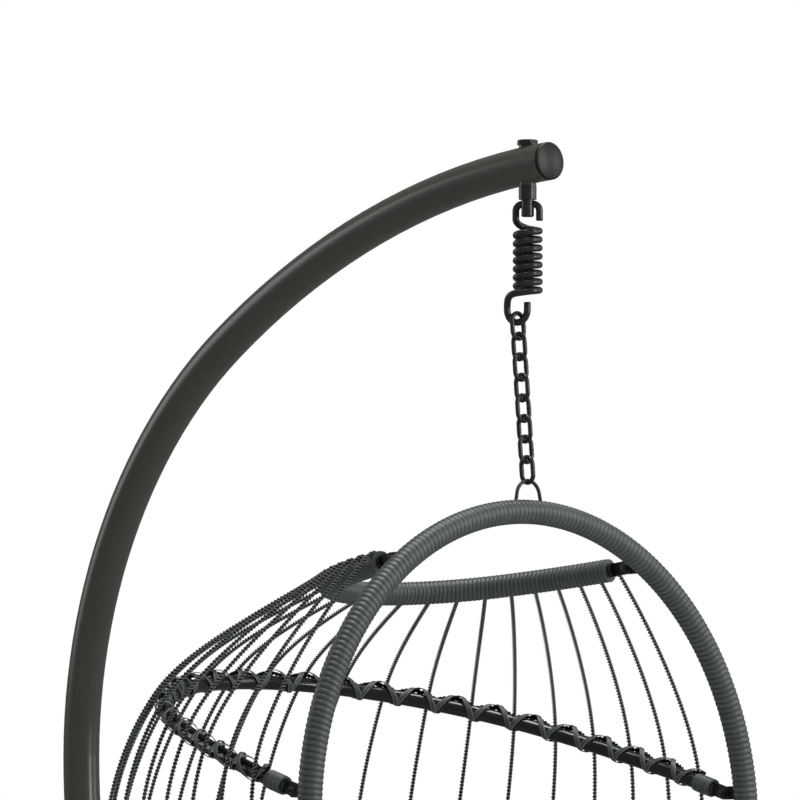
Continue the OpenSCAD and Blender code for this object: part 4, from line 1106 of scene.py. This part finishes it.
# ---------------------------------------------------------------- finishes of the frame's own pieces

FINISHES = {"stand_paint": STAND_PAINT, "black_steel": BLACK_STEEL, "bar_paint": BAR_PAINT,
            "wicker": WICKER, "cord": CORD_RATTAN, "binding": STRIP_RATTAN, "rubber": RUBBER,
            "cushion": CUSHION_FABRIC}


def dress_frame():
    """Every solid of the frame in its slot's finish, and the end cap in its own."""
    for part in frame["record"]["subparts"]:
        mesh = frame["nodes"][part["node"]].data
        mesh.materials.clear()
        mesh.materials.append(FINISHES[part["material_slot"]])
    frame["nodes"]["arm_end_cap"].data.materials[0] = CAP_PLASTIC


# ---------------------------------------------------------------- floor and light

WHITE = (1, 1, 1, 1)

# Floor: half its width, how far from the stand it starts to fade, and over what length, in metres
FLOOR_SIZE = 9.0
FADE_START = 1.6
FADE_LENGTH = 3.0

# Strength of the surround as diffuse light, as mirrored light, and as it is seen
SURROUND = (0.42, 0.16, 1.0)

# Lamps: name, place, aim, power, width, height, and whether only mirrored light shows it
LAMPS = (("overhead", (0.3, -0.1, 4.9), (0, 0, 1.2), 140, 1.6, 2.6, False),
         ("key", (1.5, -4.4, 2.6), (0, -0.1, 1.4), 110, 0.6, 3.0, False),
         ("side", (4.0, -2.4, 2.4), (0, -0.2, 1.4), 35, 1.0, 2.4, False),
         ("rim", (-1.9, 4.2, 2.6), (0, 0.6, 1.4), 30, 2.0, 2.4, True))


def floor_paint():
    """Pale matt floor that fades into the white surround away from the chair."""
    paint = Paint("pale floor")
    x, y, _ = paint.parts(paint.place)
    seen = Num(paint, paint.node("ShaderNodeLightPath").outputs["Is Camera Ray"])
    away = (((x * x + y * y) ** 0.5 - FADE_START) / FADE_LENGTH).clamped()
    glow = paint.node("ShaderNodeEmission", {"Color": WHITE, "Strength": 1.0})
    faded = paint.node("ShaderNodeMixShader", {0: away * seen, 1: paint.surface.outputs[0],
                                               2: glow.outputs[0]})
    paint.feed(paint.out.inputs["Surface"], faded.outputs[0])
    speck = paint.noise(scale=30.0, detail=4.0)
    return paint.finish(Base_Color=paint.mixed(speck, tone(236, 236, 235), tone(243, 243, 242)),
                        Roughness=0.8)


def make_stage():
    """A pale floor, soft lamps and a white surround."""
    mesh = bpy.data.meshes.new("floor")
    corners = [(x * FLOOR_SIZE, y * FLOOR_SIZE, 0) for x, y in ((-1, -1), (1, -1), (1, 1), (-1, 1))]
    mesh.from_pydata(corners, [], [(0, 1, 2, 3)])
    floor = bpy.data.objects.new("floor", mesh)
    bpy.context.scene.collection.objects.link(floor)
    mesh.materials.append(floor_paint())
    floor.visible_glossy = False

    world = bpy.data.worlds.new("surround")
    world.use_nodes = True
    bpy.context.scene.world = world
    sky = Graph(world.node_tree)
    ray = sky.node("ShaderNodeLightPath")
    grounds = [sky.node("ShaderNodeBackground", {"Color": WHITE, "Strength": strength})
               for strength in SURROUND]
    soft, mirrored, seen = (ground.outputs[0] for ground in grounds)
    lit = sky.node("ShaderNodeMixShader", {0: ray.outputs["Is Glossy Ray"], 1: soft, 2: mirrored})
    shown = sky.node("ShaderNodeMixShader", {0: ray.outputs["Is Camera Ray"], 1: lit.outputs[0], 2: seen})
    sky.node("ShaderNodeOutputWorld", {"Surface": shown.outputs[0]})

    for name, place, aim, power, width, height, mirrored_only in LAMPS:
        lamp = bpy.data.lights.new(name, "AREA")
        lamp.energy, lamp.shape, lamp.size, lamp.size_y = power, "RECTANGLE", width, height
        holder = bpy.data.objects.new(name, lamp)
        holder.visible_diffuse = not mirrored_only
        holder.location = place
        holder.rotation_euler = (Vector(aim) - Vector(place)).to_track_quat("-Z", "Y").to_euler()
        bpy.context.scene.collection.objects.link(holder)
    bpy.context.scene.view_settings.view_transform = "Standard"


dress_frame()
make_wraps()
make_cords()
make_lashings()
make_spring()
make_chain()
make_cushion()
make_stage()
